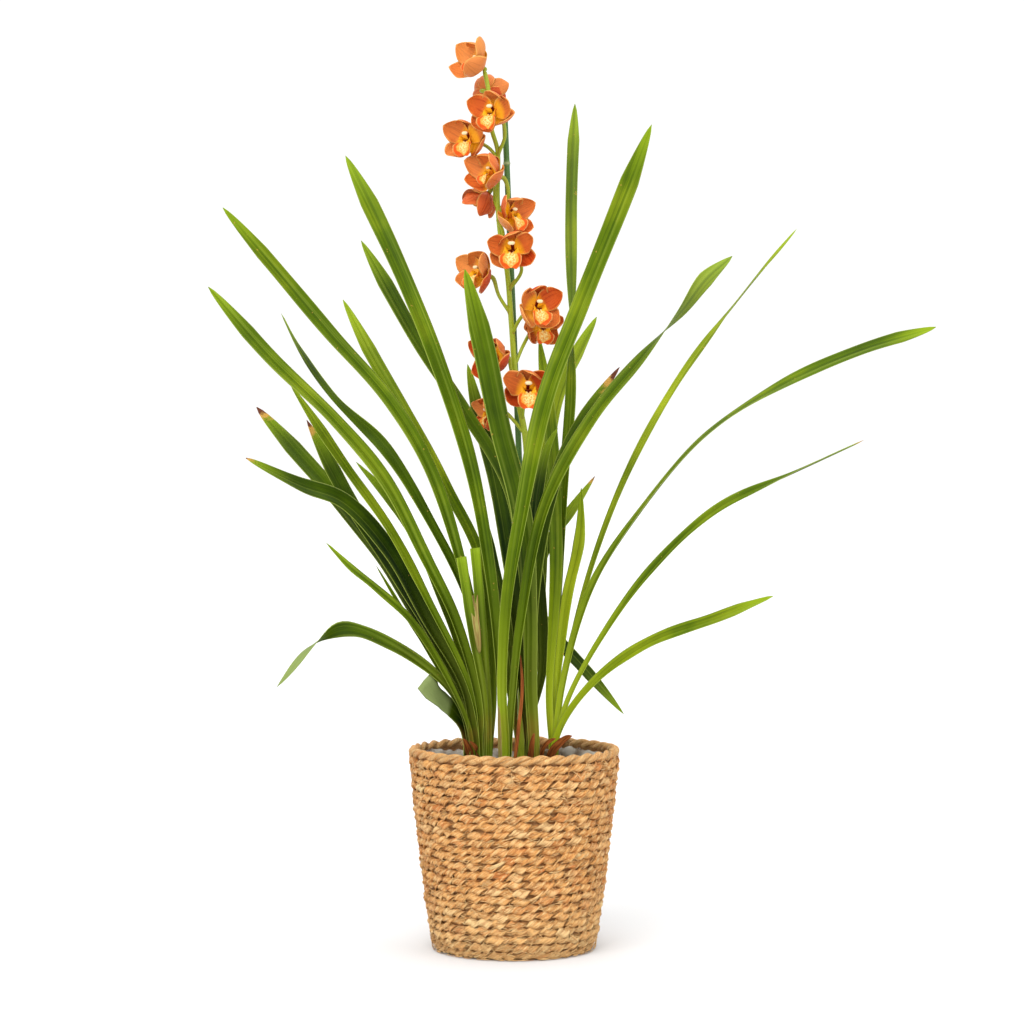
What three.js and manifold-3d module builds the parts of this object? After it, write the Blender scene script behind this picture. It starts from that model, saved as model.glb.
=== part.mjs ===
// Cymbidium orchid in a coiled seagrass basket.
// Millimetres, +Z up, +X to the right and +Y away from the viewer. The origin is
// the middle of the basket's underside.

import * as THREE from 'three';
import { mergeVertices } from 'three/addons/utils/BufferGeometryUtils.js';
import Module from 'manifold-3d';

const wasm = await Module();
wasm.setup();

// Driving dimensions

const BASKET_HEIGHT = 222;
const BASKET_FOOT_RADIUS = 90;
const BASKET_TOP_RADIUS = 116;
const BASKET_BARREL = 1.4;
const BASKET_WALL = 9;
const BASKET_FLOOR = 9;
const BASKET_FOOT_EDGE = 7;
const COILS = 24;
const STRANDS_ROUND = 14;
const COIL_RELIEF = 2.6;
const FIRST_COIL_RELIEF = 4;
const STRAND_RELIEF = 1.6;

const RIM_ROPE_RADIUS = 5.4;
const RIM_TWISTS = 20;
const RIM_STEPS = 60;
const RIM_SIDES = 6;
const RIM_LOBES = 0.1;
const RIM_OVERHANG = 0.4;

const LINER_THICKNESS = 0.9;
const LINER_TOP = 209;
const LINER_SIDES = 24;
const LINER_ROWS = 3;
const LINER_CRINKLES = 11;
const LINER_CRINKLE_DEPTH = 1.4;
const LINER_WAVES = 5;
const LINER_WAVE_DEPTH = 0.9;

const POT_TOP = 198;
const POT_TOP_RADIUS = 93;
const POT_FOOT_RADIUS = 71;
const POT_WALL = 2;
const POT_LIP = 3;
const POT_LIP_DEPTH = 13;
const POT_SIDES = 24;

const BARK_TOP = 188;
const BARK_RELIEF = 4;
const BARK_SHOULDER = 184;
const BARK_PLAY = 1.2;
const BARK_SIDES = 18;
const BARK_RINGS = [64, 36, 1];

const GAP = 0.35;
const AXIS_RADIUS = 1;

const STEM_RADIUS = 2.8;
const STEM_SIDES = 5;
const STEM_STEPS = 22;
const PEDICEL_RADIUS = 1.7;
const PEDICEL_SIDES = 4;
const BRACT_WIDTH = 9;
const STAKE_RADIUS = 2.9;
const STAKE_SIDES = 6;
const STAKE_FOOT = [21, 20, 176];
const STAKE_HEAD = [-10, 15, 904];
const STAKE_KNOTS = [0.24, 0.42, 0.6, 0.78, 0.935];
const KNOT_SWELL = 0.8;
const KNOT_REACH = 3;
const POCKET_HEIGHTS = [170, 215];
const POCKET_PLAY = 1;
const POCKET_SIDES = 8;

const BLADE_THICKNESS = 1.6;
const THINNEST = 0.3;
const LEAF_STEP = 70;
const TURNED_LEAF_STEP = 36;
const LEAF_TAPER = 90;
const LEAF_TAPER_POWER = 0.65;
const LEAF_FOOT_SHARE = 0.72;
const LEAF_FOOT_FOLD = 62;
const LEAF_FOLD = 20;
const TURN_REACH = 0.13;
const TURN_UNFOLDED = 0.2;
const TEPAL_THICKNESS = 1.5;

// The plant's routes are written as sizes on the upright plane through the
// basket's axis, as an eye at EYE_HEIGHT and EYE_DISTANCE sees them, with the
// true depth of each point beside them.
const EYE_DISTANCE = 3000;
const EYE_HEIGHT = 520;

function seen(across, up, deep) {
  const grow = 1 + deep / EYE_DISTANCE;
  return new THREE.Vector3(across * grow, deep, EYE_HEIGHT + (up - EYE_HEIGHT) * grow);
}

// Growths: where each leafy shoot stands in the bark, and the routes of its
// leaves as [across, up, deep], from the base to the tip. width is the blade's
// real width; fold is how far its halves stay folded up at the base and the tip;
// turn is the fraction of the length at which the blade turns over.

const GROWTHS = [
  {
    name: 'shoot_left',
    foot: [-47, 0],
    colour: 0x4f7a12,
    leaves: [
      { route: [[-49, 225, 0], [-57, 260, -4], [-81, 295, -12], [-134, 333, -32],
        [-186, 351, -60], [-220, 334, -84], [-261, 287, -110]], width: 18, turn: 0.8 },
      { route: [[-49, 225, 6], [-55, 249, 8], [-70, 271, 2], [-86, 286, -6],
        [-99, 287, -12], [-111, 285, -16]], width: 24, blunt: true },
      { route: [[-47, 225, -8], [-53, 251, -11], [-81, 311, -18], [-114, 361, -28],
        [-153, 397, -42], [-180, 419, -54], [-207, 446, -66]], width: 12 },
      { route: [[-48, 225, 4], [-59, 260, 5], [-92, 322, 6], [-128, 381, 4],
        [-152, 421, 2]], width: 6 },
      { route: [[-45, 225, -3], [-54, 284, -5], [-92, 355, -8], [-136, 436, -14],
        [-186, 491, -34], [-235, 510, -66], [-295, 539, -110]], width: 23 },
      { route: [[-46, 225, 4], [-57, 273, 6], [-98, 350, 13], [-142, 427, 22],
        [-197, 498, 36], [-241, 548, 50], [-283, 595, 64]], width: 24 },
      { route: [[-45, 225, 0], [-51, 267, 1], [-81, 328, 2], [-125, 405, 4],
        [-175, 482, 8], [-202, 531, 12], [-228, 581, 16]], width: 20 },
    ],
  },
  {
    name: 'shoot_front_left',
    foot: [-32, -34],
    colour: 0x5b8a10,
    leaves: [
      { route: [[-35, 225, -34], [-40, 273, -36], [-65, 361, -46], [-98, 430, -56],
        [-142, 515, -68], [-197, 581, -80], [-268, 650, -90], [-336, 727, -96]], width: 20 },
      { route: [[-36, 225, -32], [-48, 284, -36], [-92, 377, -44], [-136, 460, -48],
        [-186, 531, -44], [-246, 620, -34]], width: 13 },
      { route: [[-35, 225, -29], [-44, 273, -28], [-70, 361, -25], [-103, 443, -22],
        [-136, 493, -18], [-174, 535, -12]], width: 15 },
      { route: [[-32, 225, -33], [-31, 284, -34], [-51, 383, -38], [-92, 469, -42],
        [-142, 550, -42], [-197, 605, -32], [-235, 658, -16], [-256, 698, 0]], width: 15 },
      { route: [[-30, 225, -37], [-31, 284, -40], [-57, 416, -51], [-92, 526, -64],
        [-136, 601, -80], [-202, 676, -104], [-268, 754, -134], [-320, 814, -160]], width: 19 },
      { route: [[-28, 225, -31], [-24, 284, -28], [-37, 427, -24], [-76, 509, -24],
        [-120, 590, -20], [-156, 652, -10], [-188, 713, 2]], width: 17 },
      { route: [[-31, 225, -40], [-33, 273, -48], [-46, 350, -64], [-58, 430, -72]],
        width: 12, blunt: true },
      { route: [[-28, 225, -38], [-29, 273, -42], [-36, 361, -58], [-43, 440, -64]],
        width: 12, blunt: true },
    ],
  },
  {
    name: 'shoot_front',
    foot: [-9, -47],
    colour: 0x568809,
    leaves: [
      { route: [[-13, 225, -46], [-15, 284, -48], [-26, 405, -54], [-48, 531, -60],
        [-85, 647, -62], [-125, 746, -52], [-158, 817, -36], [-185, 871, -16]], width: 21 },
      { route: [[-9, 225, -50], [-12, 284, -55], [-7, 383, -68], [8, 476, -84],
        [34, 603, -104], [73, 707, -126], [117, 817, -150], [151, 905, -172]], width: 23 },
      { route: [[-5, 225, -48], [-2, 267, -50], [8, 361, -60], [34, 487, -68],
        [84, 581, -62], [139, 649, -50], [185, 702, -36], [210, 735, -26],
        [240, 761, -14]], width: 18, turn: 0.86 },
    ],
  },
  {
    name: 'shoot_middle',
    foot: [18, -23],
    colour: 0x3f6d16,
    leaves: [
      { route: [[20, 225, -26], [17, 284, -31], [16, 372, -42], [7, 482, -58],
        [-15, 570, -72], [-33, 658, -88], [-54, 746, -108]], width: 28 },
      { route: [[17, 225, -22], [19, 284, -22], [13, 394, -24], [-7, 509, -30],
        [-54, 590, -34], [-103, 663, -20], [-142, 732, 6], [-168, 778, 32]], width: 18 },
      { route: [[15, 225, -19], [9, 284, -14], [-2, 405, -3], [-20, 515, 14],
        [-41, 597, 34], [-51, 642, 44]], width: 20 },
      { route: [[20, 225, -20], [21, 284, -19], [25, 416, -22], [51, 531, -26],
        [86, 597, -30], [116, 639, -34]], width: 17 },
      { route: [[18, 225, -18], [18, 284, -14], [16, 339, -12], [20, 427, -10],
        [26, 504, -6], [38, 553, -4], [48, 572, -3]], width: 16 },
    ],
  },
  {
    name: 'shoot_right',
    foot: [44, 6],
    colour: 0x7f9f0e,
    leaves: [
      { route: [[43, 225, 8], [43, 273, 10], [50, 405, 13], [55, 515, 16], [62, 603, 24],
        [63, 713, 36], [63, 823, 50], [67, 928, 66]], width: 13.5, turn: 0.66 },
      { route: [[41, 225, 4], [38, 273, 3], [46, 427, 6], [41, 559, 22], [28, 671, 44]],
        width: 15 },
      { route: [[46, 225, 8], [46, 273, 7], [58, 383, 4], [72, 449, 2], [74, 506, 0]],
        width: 12 },
      { route: [[46, 225, 10], [53, 284, 14], [81, 405, 22], [122, 517, 36], [177, 619, 66],
        [246, 713, 110], [311, 791, 150]], width: 10 },
      { route: [[47, 225, 4], [53, 284, 1], [84, 394, -6], [139, 482, -10], [210, 564, 0],
        [293, 619, 20], [381, 658, 50], [464, 683, 86]], width: 16.5 },
      { route: [[47, 225, 1], [60, 273, -5], [98, 344, -22], [150, 416, -38],
        [221, 482, -66], [304, 522, -102], [385, 559, -140]], width: 12.5 },
      { route: [[46, 225, -2], [58, 254, -8], [95, 299, -34], [150, 337, -78],
        [221, 363, -126], [285, 387, -172]], width: 17 },
    ],
  },
  {
    name: 'shoot_back',
    foot: [7, 44],
    colour: 0x4a6b22,
    leaves: [
      { route: [[10, 225, 44], [22, 300, 48], [29, 383, 58], [34, 526, 92], [48, 608, 128],
        [70, 656, 162], [91, 694, 192]], width: 18 },
      { route: [[8, 225, 44], [10, 300, 50], [16, 372, 60], [34, 438, 74], [62, 480, 100],
        [89, 519, 128]], width: 15 },
      { route: [[6, 225, 47], [-8, 320, 62], [-8, 380, 78], [10, 388, 96], [42, 346, 116],
        [82, 302, 134], [121, 257, 146]], width: 16 },
      { route: [[4, 225, 43], [-2, 328, 48], [-14, 383, 54], [-24, 427, 60],
        [-40, 500, 84]], width: 15 },
      { route: [[12, 225, 42], [31, 300, 38], [31, 360, 42], [26, 414, 48],
        [18, 470, 58]], width: 15 },
    ],
  },
];

// Dried sheaths standing at the feet of the shoots.
const SHEATHS = [
  { on: 'shoot_right', route: [[40, 200, 0], [46, 216, -14], [56, 226, -24], [64, 233, -32]],
    width: 15 },
  { on: 'shoot_middle', route: [[18, 205, -26], [20, 218, -38], [23, 228, -42]], width: 9 },
  { on: 'shoot_left', route: [[-48, 205, 0], [-53, 220, -12], [-58, 228, -16]], width: 10 },
];

const SHOOT_PSEUDOBULB = { radius: 13, depth: 10.4, low: 168, high: 240, sides: 7, rows: 5 };

// The flower stem, and the flowers on it: where the column starts, the height
// on the stem that the stalk leaves from, which way the flower looks (yaw to the
// right, pitch upwards, in degrees) and its size.

const STEM_ROUTE = [[8, 176, 12], [8, 273, 10], [14, 383, 8], [16, 469, 6], [13, 557, 4],
  [3, 614, 3], [-3, 689, 2], [-8, 747, 1], [-15, 784, 0], [-18, 823, -1], [-18, 876, -2],
  [-25, 902, -3], [-28, 942, -3], [-32, 962, -2]];

const BRACT_ROUTE = [[15, 490, 4], [17, 472, 0], [17, 455, -2], [16, 443, -3]];

const BLOOMS = [
  { at: [-37, 971, -4], leaves: 960, yaw: -78, pitch: 32, size: 1.18, open: 0.42 },
  { at: [-31, 942, 18], leaves: 934, yaw: 165, pitch: 8, size: 0.88, open: 0.75 },
  { at: [-23, 917, -34], leaves: 892, yaw: -30, pitch: 5, size: 1, open: 0.7 },
  { at: [-50, 888, 2], leaves: 868, yaw: -28, pitch: 0, size: 1.02, open: 0.75 },
  { at: [-19, 852, -18], leaves: 838, yaw: -66, pitch: 8, size: 1.16, open: 0.5 },
  { at: [-30, 827, 18], leaves: 812, yaw: -110, pitch: -50, size: 1, open: 0.5 },
  { at: [-6, 804, -16], leaves: 772, yaw: 46, pitch: 10, size: 1.1, open: 0.7 },
  { at: [-1, 766, -38], leaves: 742, yaw: -4, pitch: 2, size: 1.06, open: 0.8 },
  { at: [-35, 741, -12], leaves: 712, yaw: -48, pitch: 4, size: 1.12, open: 0.7 },
  { at: [22, 704, -30], leaves: 676, yaw: 22, pitch: 2, size: 1.12, open: 0.8 },
  { at: [25, 681, 14], leaves: 640, yaw: 25, pitch: -16, size: 0.96, open: 0.6 },
  { at: [-17, 650, -16], leaves: 622, yaw: -40, pitch: 0, size: 1.2, open: 0.7 },
  { at: [15, 614, -36], leaves: 582, yaw: 4, pitch: 2, size: 1.16, open: 0.8 },
  { at: [-22, 588, 4], leaves: 566, yaw: -68, pitch: -4, size: 0.96, open: 0.55 },
];

// Mesh tools

function grid(rings) {
  // Rings of the same number of points, each a closed loop, skinned and capped.
  const count = rings[0].length;
  const points = rings.flat();
  const faces = [];
  for (let ring = 0; ring + 1 < rings.length; ring += 1) {
    for (let side = 0; side < count; side += 1) {
      const next = (side + 1) % count;
      const a = ring * count + side;
      const b = ring * count + next;
      const c = (ring + 1) * count + next;
      const d = (ring + 1) * count + side;
      if (side < count / 2) {
        faces.push([a, b, d], [b, c, d]);
      } else {
        faces.push([a, b, c], [a, c, d]);
      }
    }
  }
  const last = (rings.length - 1) * count;
  for (let side = 1; side + 1 < count; side += 1) {
    faces.push([0, side + 1, side]);
    faces.push([last, last + side, last + side + 1]);
  }
  const geometry = new THREE.BufferGeometry();
  geometry.setAttribute('position', new THREE.Float32BufferAttribute(
    points.flatMap((point) => [point.x, point.y, point.z]), 3));
  geometry.setIndex(faces.flat());
  return geometry;
}

function bare(geometry) {
  // Only positions, shared corners merged and flat slivers dropped.
  const copy = geometry.clone();
  copy.deleteAttribute('normal');
  copy.deleteAttribute('uv');
  const merged = mergeVertices(copy, 1e-3);
  const index = merged.index.array;
  const kept = [];
  for (let start = 0; start < index.length; start += 3) {
    const [a, b, c] = [index[start], index[start + 1], index[start + 2]];
    if (a !== b && b !== c && c !== a) {
      kept.push(a, b, c);
    }
  }
  merged.setIndex(kept);
  return merged;
}

function solid(geometry) {
  const merged = bare(geometry);
  const mesh = new wasm.Mesh({
    numProp: 3,
    vertProperties: new Float32Array(merged.attributes.position.array),
    triVerts: new Uint32Array(merged.index.array),
  });
  const body = new wasm.Manifold(mesh);
  return body.volume() < 0 ? solid(flipped(merged)) : body;
}

function flipped(geometry) {
  const copy = geometry.clone();
  copy.setIndex(Array.from(geometry.index.array).reverse());
  return copy;
}

function shape(body) {
  const mesh = body.getMesh();
  const geometry = new THREE.BufferGeometry();
  geometry.setAttribute('position', new THREE.Float32BufferAttribute(mesh.vertProperties, 3));
  geometry.setIndex(Array.from(mesh.triVerts));
  return geometry;
}

function joined(geometries) {
  // One body: a hollow that the joining seals is filled, a loose scrap dropped.
  const whole = geometries.map(solid).reduce((all, piece) => all.add(piece));
  const parts = whole.decompose();
  return shape(parts.reduce((best, part) => (part.volume() > best.volume() ? part : best)));
}

function material(colour, roughness = 0.6) {
  return new THREE.MeshStandardMaterial({ color: colour, roughness, metalness: 0 });
}

function addMesh(name, geometry, finish) {
  const mesh = new THREE.Mesh(geometry, finish);
  mesh.name = name;
  group.add(mesh);
  return mesh;
}

function blend(from, to, at) {
  return from + (to - from) * at;
}

function ease(low, high, value) {
  return THREE.MathUtils.smoothstep(value, low, high);
}

// A leaf blade, petal or bract: a folded strip, thick at its midrib and thin at
// its edges, that follows a curve and faces the given way.
function blade(points, options) {
  const { width, fold, facing, thickness, steps, outline, turn } = options;
  const curve = new THREE.CatmullRomCurve3(points, false, 'centripetal');
  const rings = [];
  for (let step = 0; step <= steps; step += 1) {
    const along = step / steps;
    const point = curve.getPointAt(along);
    const tangent = curve.getTangentAt(along);
    const upper = facing(along).clone();
    upper.addScaledVector(tangent, -upper.dot(tangent)).normalize();
    if (turn) {
      upper.applyAxisAngle(tangent, Math.PI * ease(turn - TURN_REACH, turn + TURN_REACH, along));
    }
    const side = new THREE.Vector3().crossVectors(tangent, upper);
    const half = width * outline(along) / 2;
    const lift = THREE.MathUtils.degToRad(fold(along));
    const thick = Math.min(thickness, Math.max(half, THINNEST)) / 2;
    const out = half * Math.cos(lift);
    const rise = half * Math.sin(lift);
    rings.push([
      point.clone().addScaledVector(side, -out).addScaledVector(upper, rise),
      point.clone().addScaledVector(upper, thick),
      point.clone().addScaledVector(side, out).addScaledVector(upper, rise),
      point.clone().addScaledVector(upper, -thick),
    ]);
  }
  return grid(rings);
}

function tube(points, radius, sides, steps) {
  const section = new THREE.Shape();
  for (let side = 0; side < sides; side += 1) {
    const angle = side / sides * Math.PI * 2;
    const corner = [radius * Math.cos(angle), radius * Math.sin(angle)];
    if (side === 0) {
      section.moveTo(...corner);
    } else {
      section.lineTo(...corner);
    }
  }
  section.closePath();
  const path = new THREE.CatmullRomCurve3(points, false, 'centripetal');
  return new THREE.ExtrudeGeometry(section,
    { steps, curveSegments: 1, bevelEnabled: false, extrudePath: path });
}

function egg(radiusAcross, radiusDeep, low, high, sides, rows) {
  const profile = [];
  for (let row = 0; row <= rows; row += 1) {
    const angle = row / rows * Math.PI;
    profile.push(new THREE.Vector2(Math.sin(angle), -Math.cos(angle)));
  }
  profile[0].x = 0;
  profile[rows].x = 0;
  const geometry = new THREE.LatheGeometry(profile, sides);
  geometry.rotateX(Math.PI / 2);
  geometry.scale(radiusAcross, radiusDeep, (high - low) / 2);
  geometry.translate(0, 0, (high + low) / 2);
  return geometry;
}

// Basket

function basketRadius(height) {
  const at = height / BASKET_HEIGHT;
  return blend(BASKET_FOOT_RADIUS, BASKET_TOP_RADIUS, at) + BASKET_BARREL * Math.sin(Math.PI * at);
}

const ringAround = (count, radiusAt, heightAt) => Array.from({ length: count }, (_, side) => {
  const angle = side / count * Math.PI * 2;
  const radius = radiusAt(angle, side);
  return new THREE.Vector3(radius * Math.cos(angle), radius * Math.sin(angle),
    heightAt(angle, side));
});

// Relief of the weave: each coil swells between two grooves, and every strand
// that wraps it stands out beside the next one, half a strand on from row to row.
function basketGeometry() {
  const count = STRANDS_ROUND * 2;
  const top = BASKET_HEIGHT - 2 * RIM_ROPE_RADIUS - GAP;
  const pitch = top / COILS;
  const rings = [ringAround(count, () => AXIS_RADIUS, () => 0)];
  rings.push(ringAround(count, () => basketRadius(0) - BASKET_FOOT_EDGE, () => 0));
  for (let coil = 0; coil < COILS; coil += 1) {
    const groove = (coil === 0 ? 0.3 : coil) * pitch;
    const ridge = (coil + 0.5) * pitch;
    const tuck = coil === 0 ? FIRST_COIL_RELIEF : COIL_RELIEF;
    rings.push(ringAround(count, () => basketRadius(groove) - tuck, () => groove));
    rings.push(ringAround(count,
      (angle, side) => basketRadius(ridge) + ((side + coil) % 2 ? 0 : -STRAND_RELIEF),
      () => ridge));
  }
  rings.push(ringAround(count, () => basketRadius(top) - COIL_RELIEF, () => top));
  rings.push(ringAround(count, () => basketRadius(top) - BASKET_WALL, () => top));
  rings.push(ringAround(count, () => basketRadius(top / 2) - BASKET_WALL, () => top / 2));
  rings.push(ringAround(count, () => basketRadius(BASKET_FLOOR) - BASKET_WALL,
    () => BASKET_FLOOR));
  rings.push(ringAround(count, () => AXIS_RADIUS, () => BASKET_FLOOR));
  return grid(rings);
}

// The rim is a rope of two strands laid round the opening.
function rimGeometry() {
  const middle = BASKET_HEIGHT - RIM_ROPE_RADIUS;
  const ring = basketRadius(middle) - RIM_ROPE_RADIUS + RIM_OVERHANG;
  const points = [];
  const faces = [];
  for (let step = 0; step < RIM_STEPS; step += 1) {
    const around = step / RIM_STEPS * Math.PI * 2;
    for (let side = 0; side < RIM_SIDES; side += 1) {
      const angle = (side + 0.5) / RIM_SIDES * Math.PI * 2;
      const lobe = Math.cos(2 * angle - RIM_TWISTS * around);
      const radius = RIM_ROPE_RADIUS * (1 - RIM_LOBES + RIM_LOBES * lobe);
      const out = ring + radius * Math.cos(angle);
      points.push(out * Math.cos(around), out * Math.sin(around),
        middle + radius * Math.sin(angle));
      const next = (step + 1) % RIM_STEPS;
      const turn = (side + 1) % RIM_SIDES;
      const a = step * RIM_SIDES + side;
      const b = next * RIM_SIDES + side;
      const c = next * RIM_SIDES + turn;
      const d = step * RIM_SIDES + turn;
      faces.push(a, b, c, a, c, d);
    }
  }
  const geometry = new THREE.BufferGeometry();
  geometry.setAttribute('position', new THREE.Float32BufferAttribute(points, 3));
  geometry.setIndex(faces);
  return shape(solid(geometry));
}

function potRadius(height) {
  const at = (height - BASKET_FLOOR) / (POT_TOP - BASKET_FLOOR);
  return blend(POT_FOOT_RADIUS, POT_TOP_RADIUS, at);
}

const LINER_FLOOR = BASKET_FLOOR + GAP;
const POT_FLOOR = LINER_FLOOR + LINER_THICKNESS + GAP;
const BARK_FLOOR = POT_FLOOR + POT_WALL + GAP;

// A crumpled plastic sheet half way between the basket and the pot.
function linerGeometry() {
  const rings = [];
  const crumple = (angle, at) => at * (
    LINER_CRINKLE_DEPTH * Math.sin(LINER_CRINKLES * angle + 3 * at)
    + LINER_WAVE_DEPTH * Math.sin(LINER_WAVES * angle - 2 * at));
  const middle = (height) => {
    const inside = basketRadius(height) - BASKET_WALL;
    return (inside + potRadius(height) + POT_LIP) / 2;
  };
  const topAt = (angle) => LINER_TOP + 3 * Math.sin(3 * angle) + 2 * Math.sin(7 * angle + 1);
  const wall = (row, inset) => {
    const at = row / LINER_ROWS;
    const radius = middle(blend(LINER_FLOOR, LINER_TOP, at)) - inset;
    return ringAround(LINER_SIDES, (angle) => radius + crumple(angle, at),
      (angle) => blend(LINER_FLOOR + inset, topAt(angle), at));
  };
  rings.push(ringAround(LINER_SIDES, () => AXIS_RADIUS, () => LINER_FLOOR));
  for (let row = 0; row <= LINER_ROWS; row += 1) {
    rings.push(wall(row, 0));
  }
  for (let row = LINER_ROWS; row >= 0; row -= 1) {
    rings.push(wall(row, LINER_THICKNESS));
  }
  rings.push(ringAround(LINER_SIDES, () => AXIS_RADIUS, () => LINER_FLOOR + LINER_THICKNESS));
  return grid(rings);
}

function potGeometry() {
  const lip = POT_TOP_RADIUS + POT_LIP;
  const ledge = POT_TOP - POT_LIP_DEPTH;
  const mouth = POT_TOP_RADIUS - POT_WALL;
  const profile = [
    [0, POT_FLOOR], [POT_FOOT_RADIUS, POT_FLOOR], [POT_TOP_RADIUS, ledge - 1],
    [lip, ledge], [lip, POT_TOP], [mouth, POT_TOP], [mouth, ledge - 1],
    [POT_FOOT_RADIUS - POT_WALL, POT_FLOOR + POT_WALL], [0, POT_FLOOR + POT_WALL],
  ].map(([radius, height]) => new THREE.Vector2(radius, height));
  const geometry = new THREE.LatheGeometry(profile, POT_SIDES);
  geometry.rotateX(Math.PI / 2);
  return bare(geometry);
}

// Bark chips: the top of the fill rises and falls by a formula.
function barkGeometry() {
  const chips = (angle, radius) => BARK_TOP
    + BARK_RELIEF * Math.sin(radius * 0.31 + 5 * angle) * Math.cos(radius * 0.17 - 9 * angle);
  const inner = POT_TOP_RADIUS - POT_WALL - BARK_PLAY;
  const foot = POT_FOOT_RADIUS - POT_WALL - BARK_PLAY;
  const rings = [
    ringAround(BARK_SIDES, () => AXIS_RADIUS, () => BARK_FLOOR),
    ringAround(BARK_SIDES, () => foot, () => BARK_FLOOR),
    ringAround(BARK_SIDES, () => inner - BARK_PLAY,
      (angle) => Math.min(chips(angle, inner), BARK_SHOULDER)),
  ];
  for (const radius of BARK_RINGS) {
    rings.push(ringAround(BARK_SIDES, () => radius, (angle) => chips(angle, radius)));
  }
  return grid(rings);
}

// Leafy shoots

const LEAF_FACING = new THREE.Vector3(0, -0.78, 0.6);

function leafGeometry(leaf) {
  const points = leaf.route.map((place) => seen(...place));
  const [foot, tip] = [points[0], points[points.length - 1]];
  const lean = Math.sign(tip.x - foot.x) || 1;
  const facing = (along) => LEAF_FACING.clone().setX(blend(-0.55 * lean, -0.1 * lean, along));
  const length = new THREE.CatmullRomCurve3(points, false, 'centripetal').getLength();
  const steps = Math.max(6, Math.round(length / (leaf.turn ? TURNED_LEAF_STEP : LEAF_STEP)));
  const outline = (along) => {
    const body = blend(LEAF_FOOT_SHARE, 1, ease(0, 0.6, along));
    const end = leaf.blunt ? 0 : LEAF_TAPER / length;
    const taper = along > 1 - end ? ((1 - along) / end) ** LEAF_TAPER_POWER : 1;
    return body * Math.max(taper, 0.04);
  };
  const fold = (along) => {
    const open = blend(LEAF_FOOT_FOLD, LEAF_FOLD, ease(0.15, 0.7, along));
    return leaf.turn ? open * Math.min(1, Math.abs(along - leaf.turn) / TURN_UNFOLDED) : open;
  };
  return blade(points, { width: leaf.width, fold, facing, thickness: BLADE_THICKNESS, steps,
    outline, turn: leaf.turn });
}

function bulbGeometry(foot, extra) {
  const { radius, depth, low, high, sides, rows } = SHOOT_PSEUDOBULB;
  const geometry = egg(radius + extra, depth + extra, low - extra, high + extra, sides, rows);
  geometry.translate(foot[0], foot[1], 0);
  return geometry;
}

function sheathGeometry(sheath) {
  const facing = () => new THREE.Vector3(0, -0.5, 0.9);
  const outline = (along) => Math.max(Math.sqrt(1 - along ** 3), 0.12);
  return blade(sheath.route.map((place) => seen(...place)), { width: sheath.width,
    fold: () => 30, facing, thickness: BLADE_THICKNESS, steps: 4, outline });
}

function growthGeometry(growth) {
  const sheaths = SHEATHS.filter((sheath) => sheath.on === growth.name).map(sheathGeometry);
  return joined([bulbGeometry(growth.foot, 0), ...growth.leaves.map(leafGeometry),
    ...sheaths]);
}

// Flower stem and stake

const stemPoints = STEM_ROUTE.map((place) => seen(...place));
const stemCurve = new THREE.CatmullRomCurve3(stemPoints, false, 'centripetal');

function stemAt(height) {
  // The point on the stem at a height, found by halving.
  let [low, high] = [0, 1];
  for (let round = 0; round < 24; round += 1) {
    const middle = (low + high) / 2;
    if (stemCurve.getPointAt(middle).z < height) {
      low = middle;
    } else {
      high = middle;
    }
  }
  return stemCurve.getPointAt(low);
}

function bloomTurn(bloom) {
  const degrees = THREE.MathUtils.degToRad;
  return new THREE.Euler(degrees(-bloom.pitch), 0, degrees(bloom.yaw), 'ZXY');
}

function pedicelGeometry(bloom) {
  const centre = seen(...bloom.at);
  const back = new THREE.Vector3(0, 1, 0).applyEuler(bloomTurn(bloom));
  const start = stemAt(bloom.leaves);
  const end = centre.clone().addScaledVector(back, HUB_BACK * bloom.size + GAP);
  const reach = start.distanceTo(end);
  const rise = start.clone().lerp(end, 0.35).add(new THREE.Vector3(0, 0, reach * 0.12));
  const behind = end.clone().addScaledVector(back, Math.min(9, reach * 0.4));
  const first = start.clone().add(new THREE.Vector3(0, 0, -1));
  return tube([first, rise, behind, end], PEDICEL_RADIUS, PEDICEL_SIDES, 3);
}

function bractGeometry() {
  return blade(BRACT_ROUTE.map((place) => seen(...place)), { width: BRACT_WIDTH, fold: () => 30,
    facing: () => new THREE.Vector3(0, -1, 0.1), thickness: BLADE_THICKNESS, steps: 4,
    outline: (along) => Math.max(Math.sin(Math.PI * (0.15 + 0.82 * along)), 0.1) });
}

function stemGeometry() {
  return joined([tube(stemPoints, STEM_RADIUS, STEM_SIDES, STEM_STEPS),
    ...BLOOMS.map(pedicelGeometry), bractGeometry()]);
}

const stakeFoot = new THREE.Vector3(...STAKE_FOOT);
const stakeHead = new THREE.Vector3(...STAKE_HEAD);

function stakeGeometry() {
  const length = stakeFoot.distanceTo(stakeHead);
  const profile = [[0, 0], [STAKE_RADIUS, 0]];
  for (const knot of STAKE_KNOTS) {
    profile.push([STAKE_RADIUS, length * knot - KNOT_REACH],
      [STAKE_RADIUS + KNOT_SWELL, length * knot],
      [STAKE_RADIUS, length * knot + KNOT_REACH]);
  }
  profile.push([STAKE_RADIUS, length], [0, length]);
  const geometry = new THREE.LatheGeometry(
    profile.map(([radius, height]) => new THREE.Vector2(radius, height)), STAKE_SIDES);
  const lean = new THREE.Quaternion().setFromUnitVectors(new THREE.Vector3(0, 1, 0),
    stakeHead.clone().sub(stakeFoot).normalize());
  geometry.applyQuaternion(lean);
  geometry.translate(stakeFoot.x, stakeFoot.y, stakeFoot.z);
  return bare(geometry);
}

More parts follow.
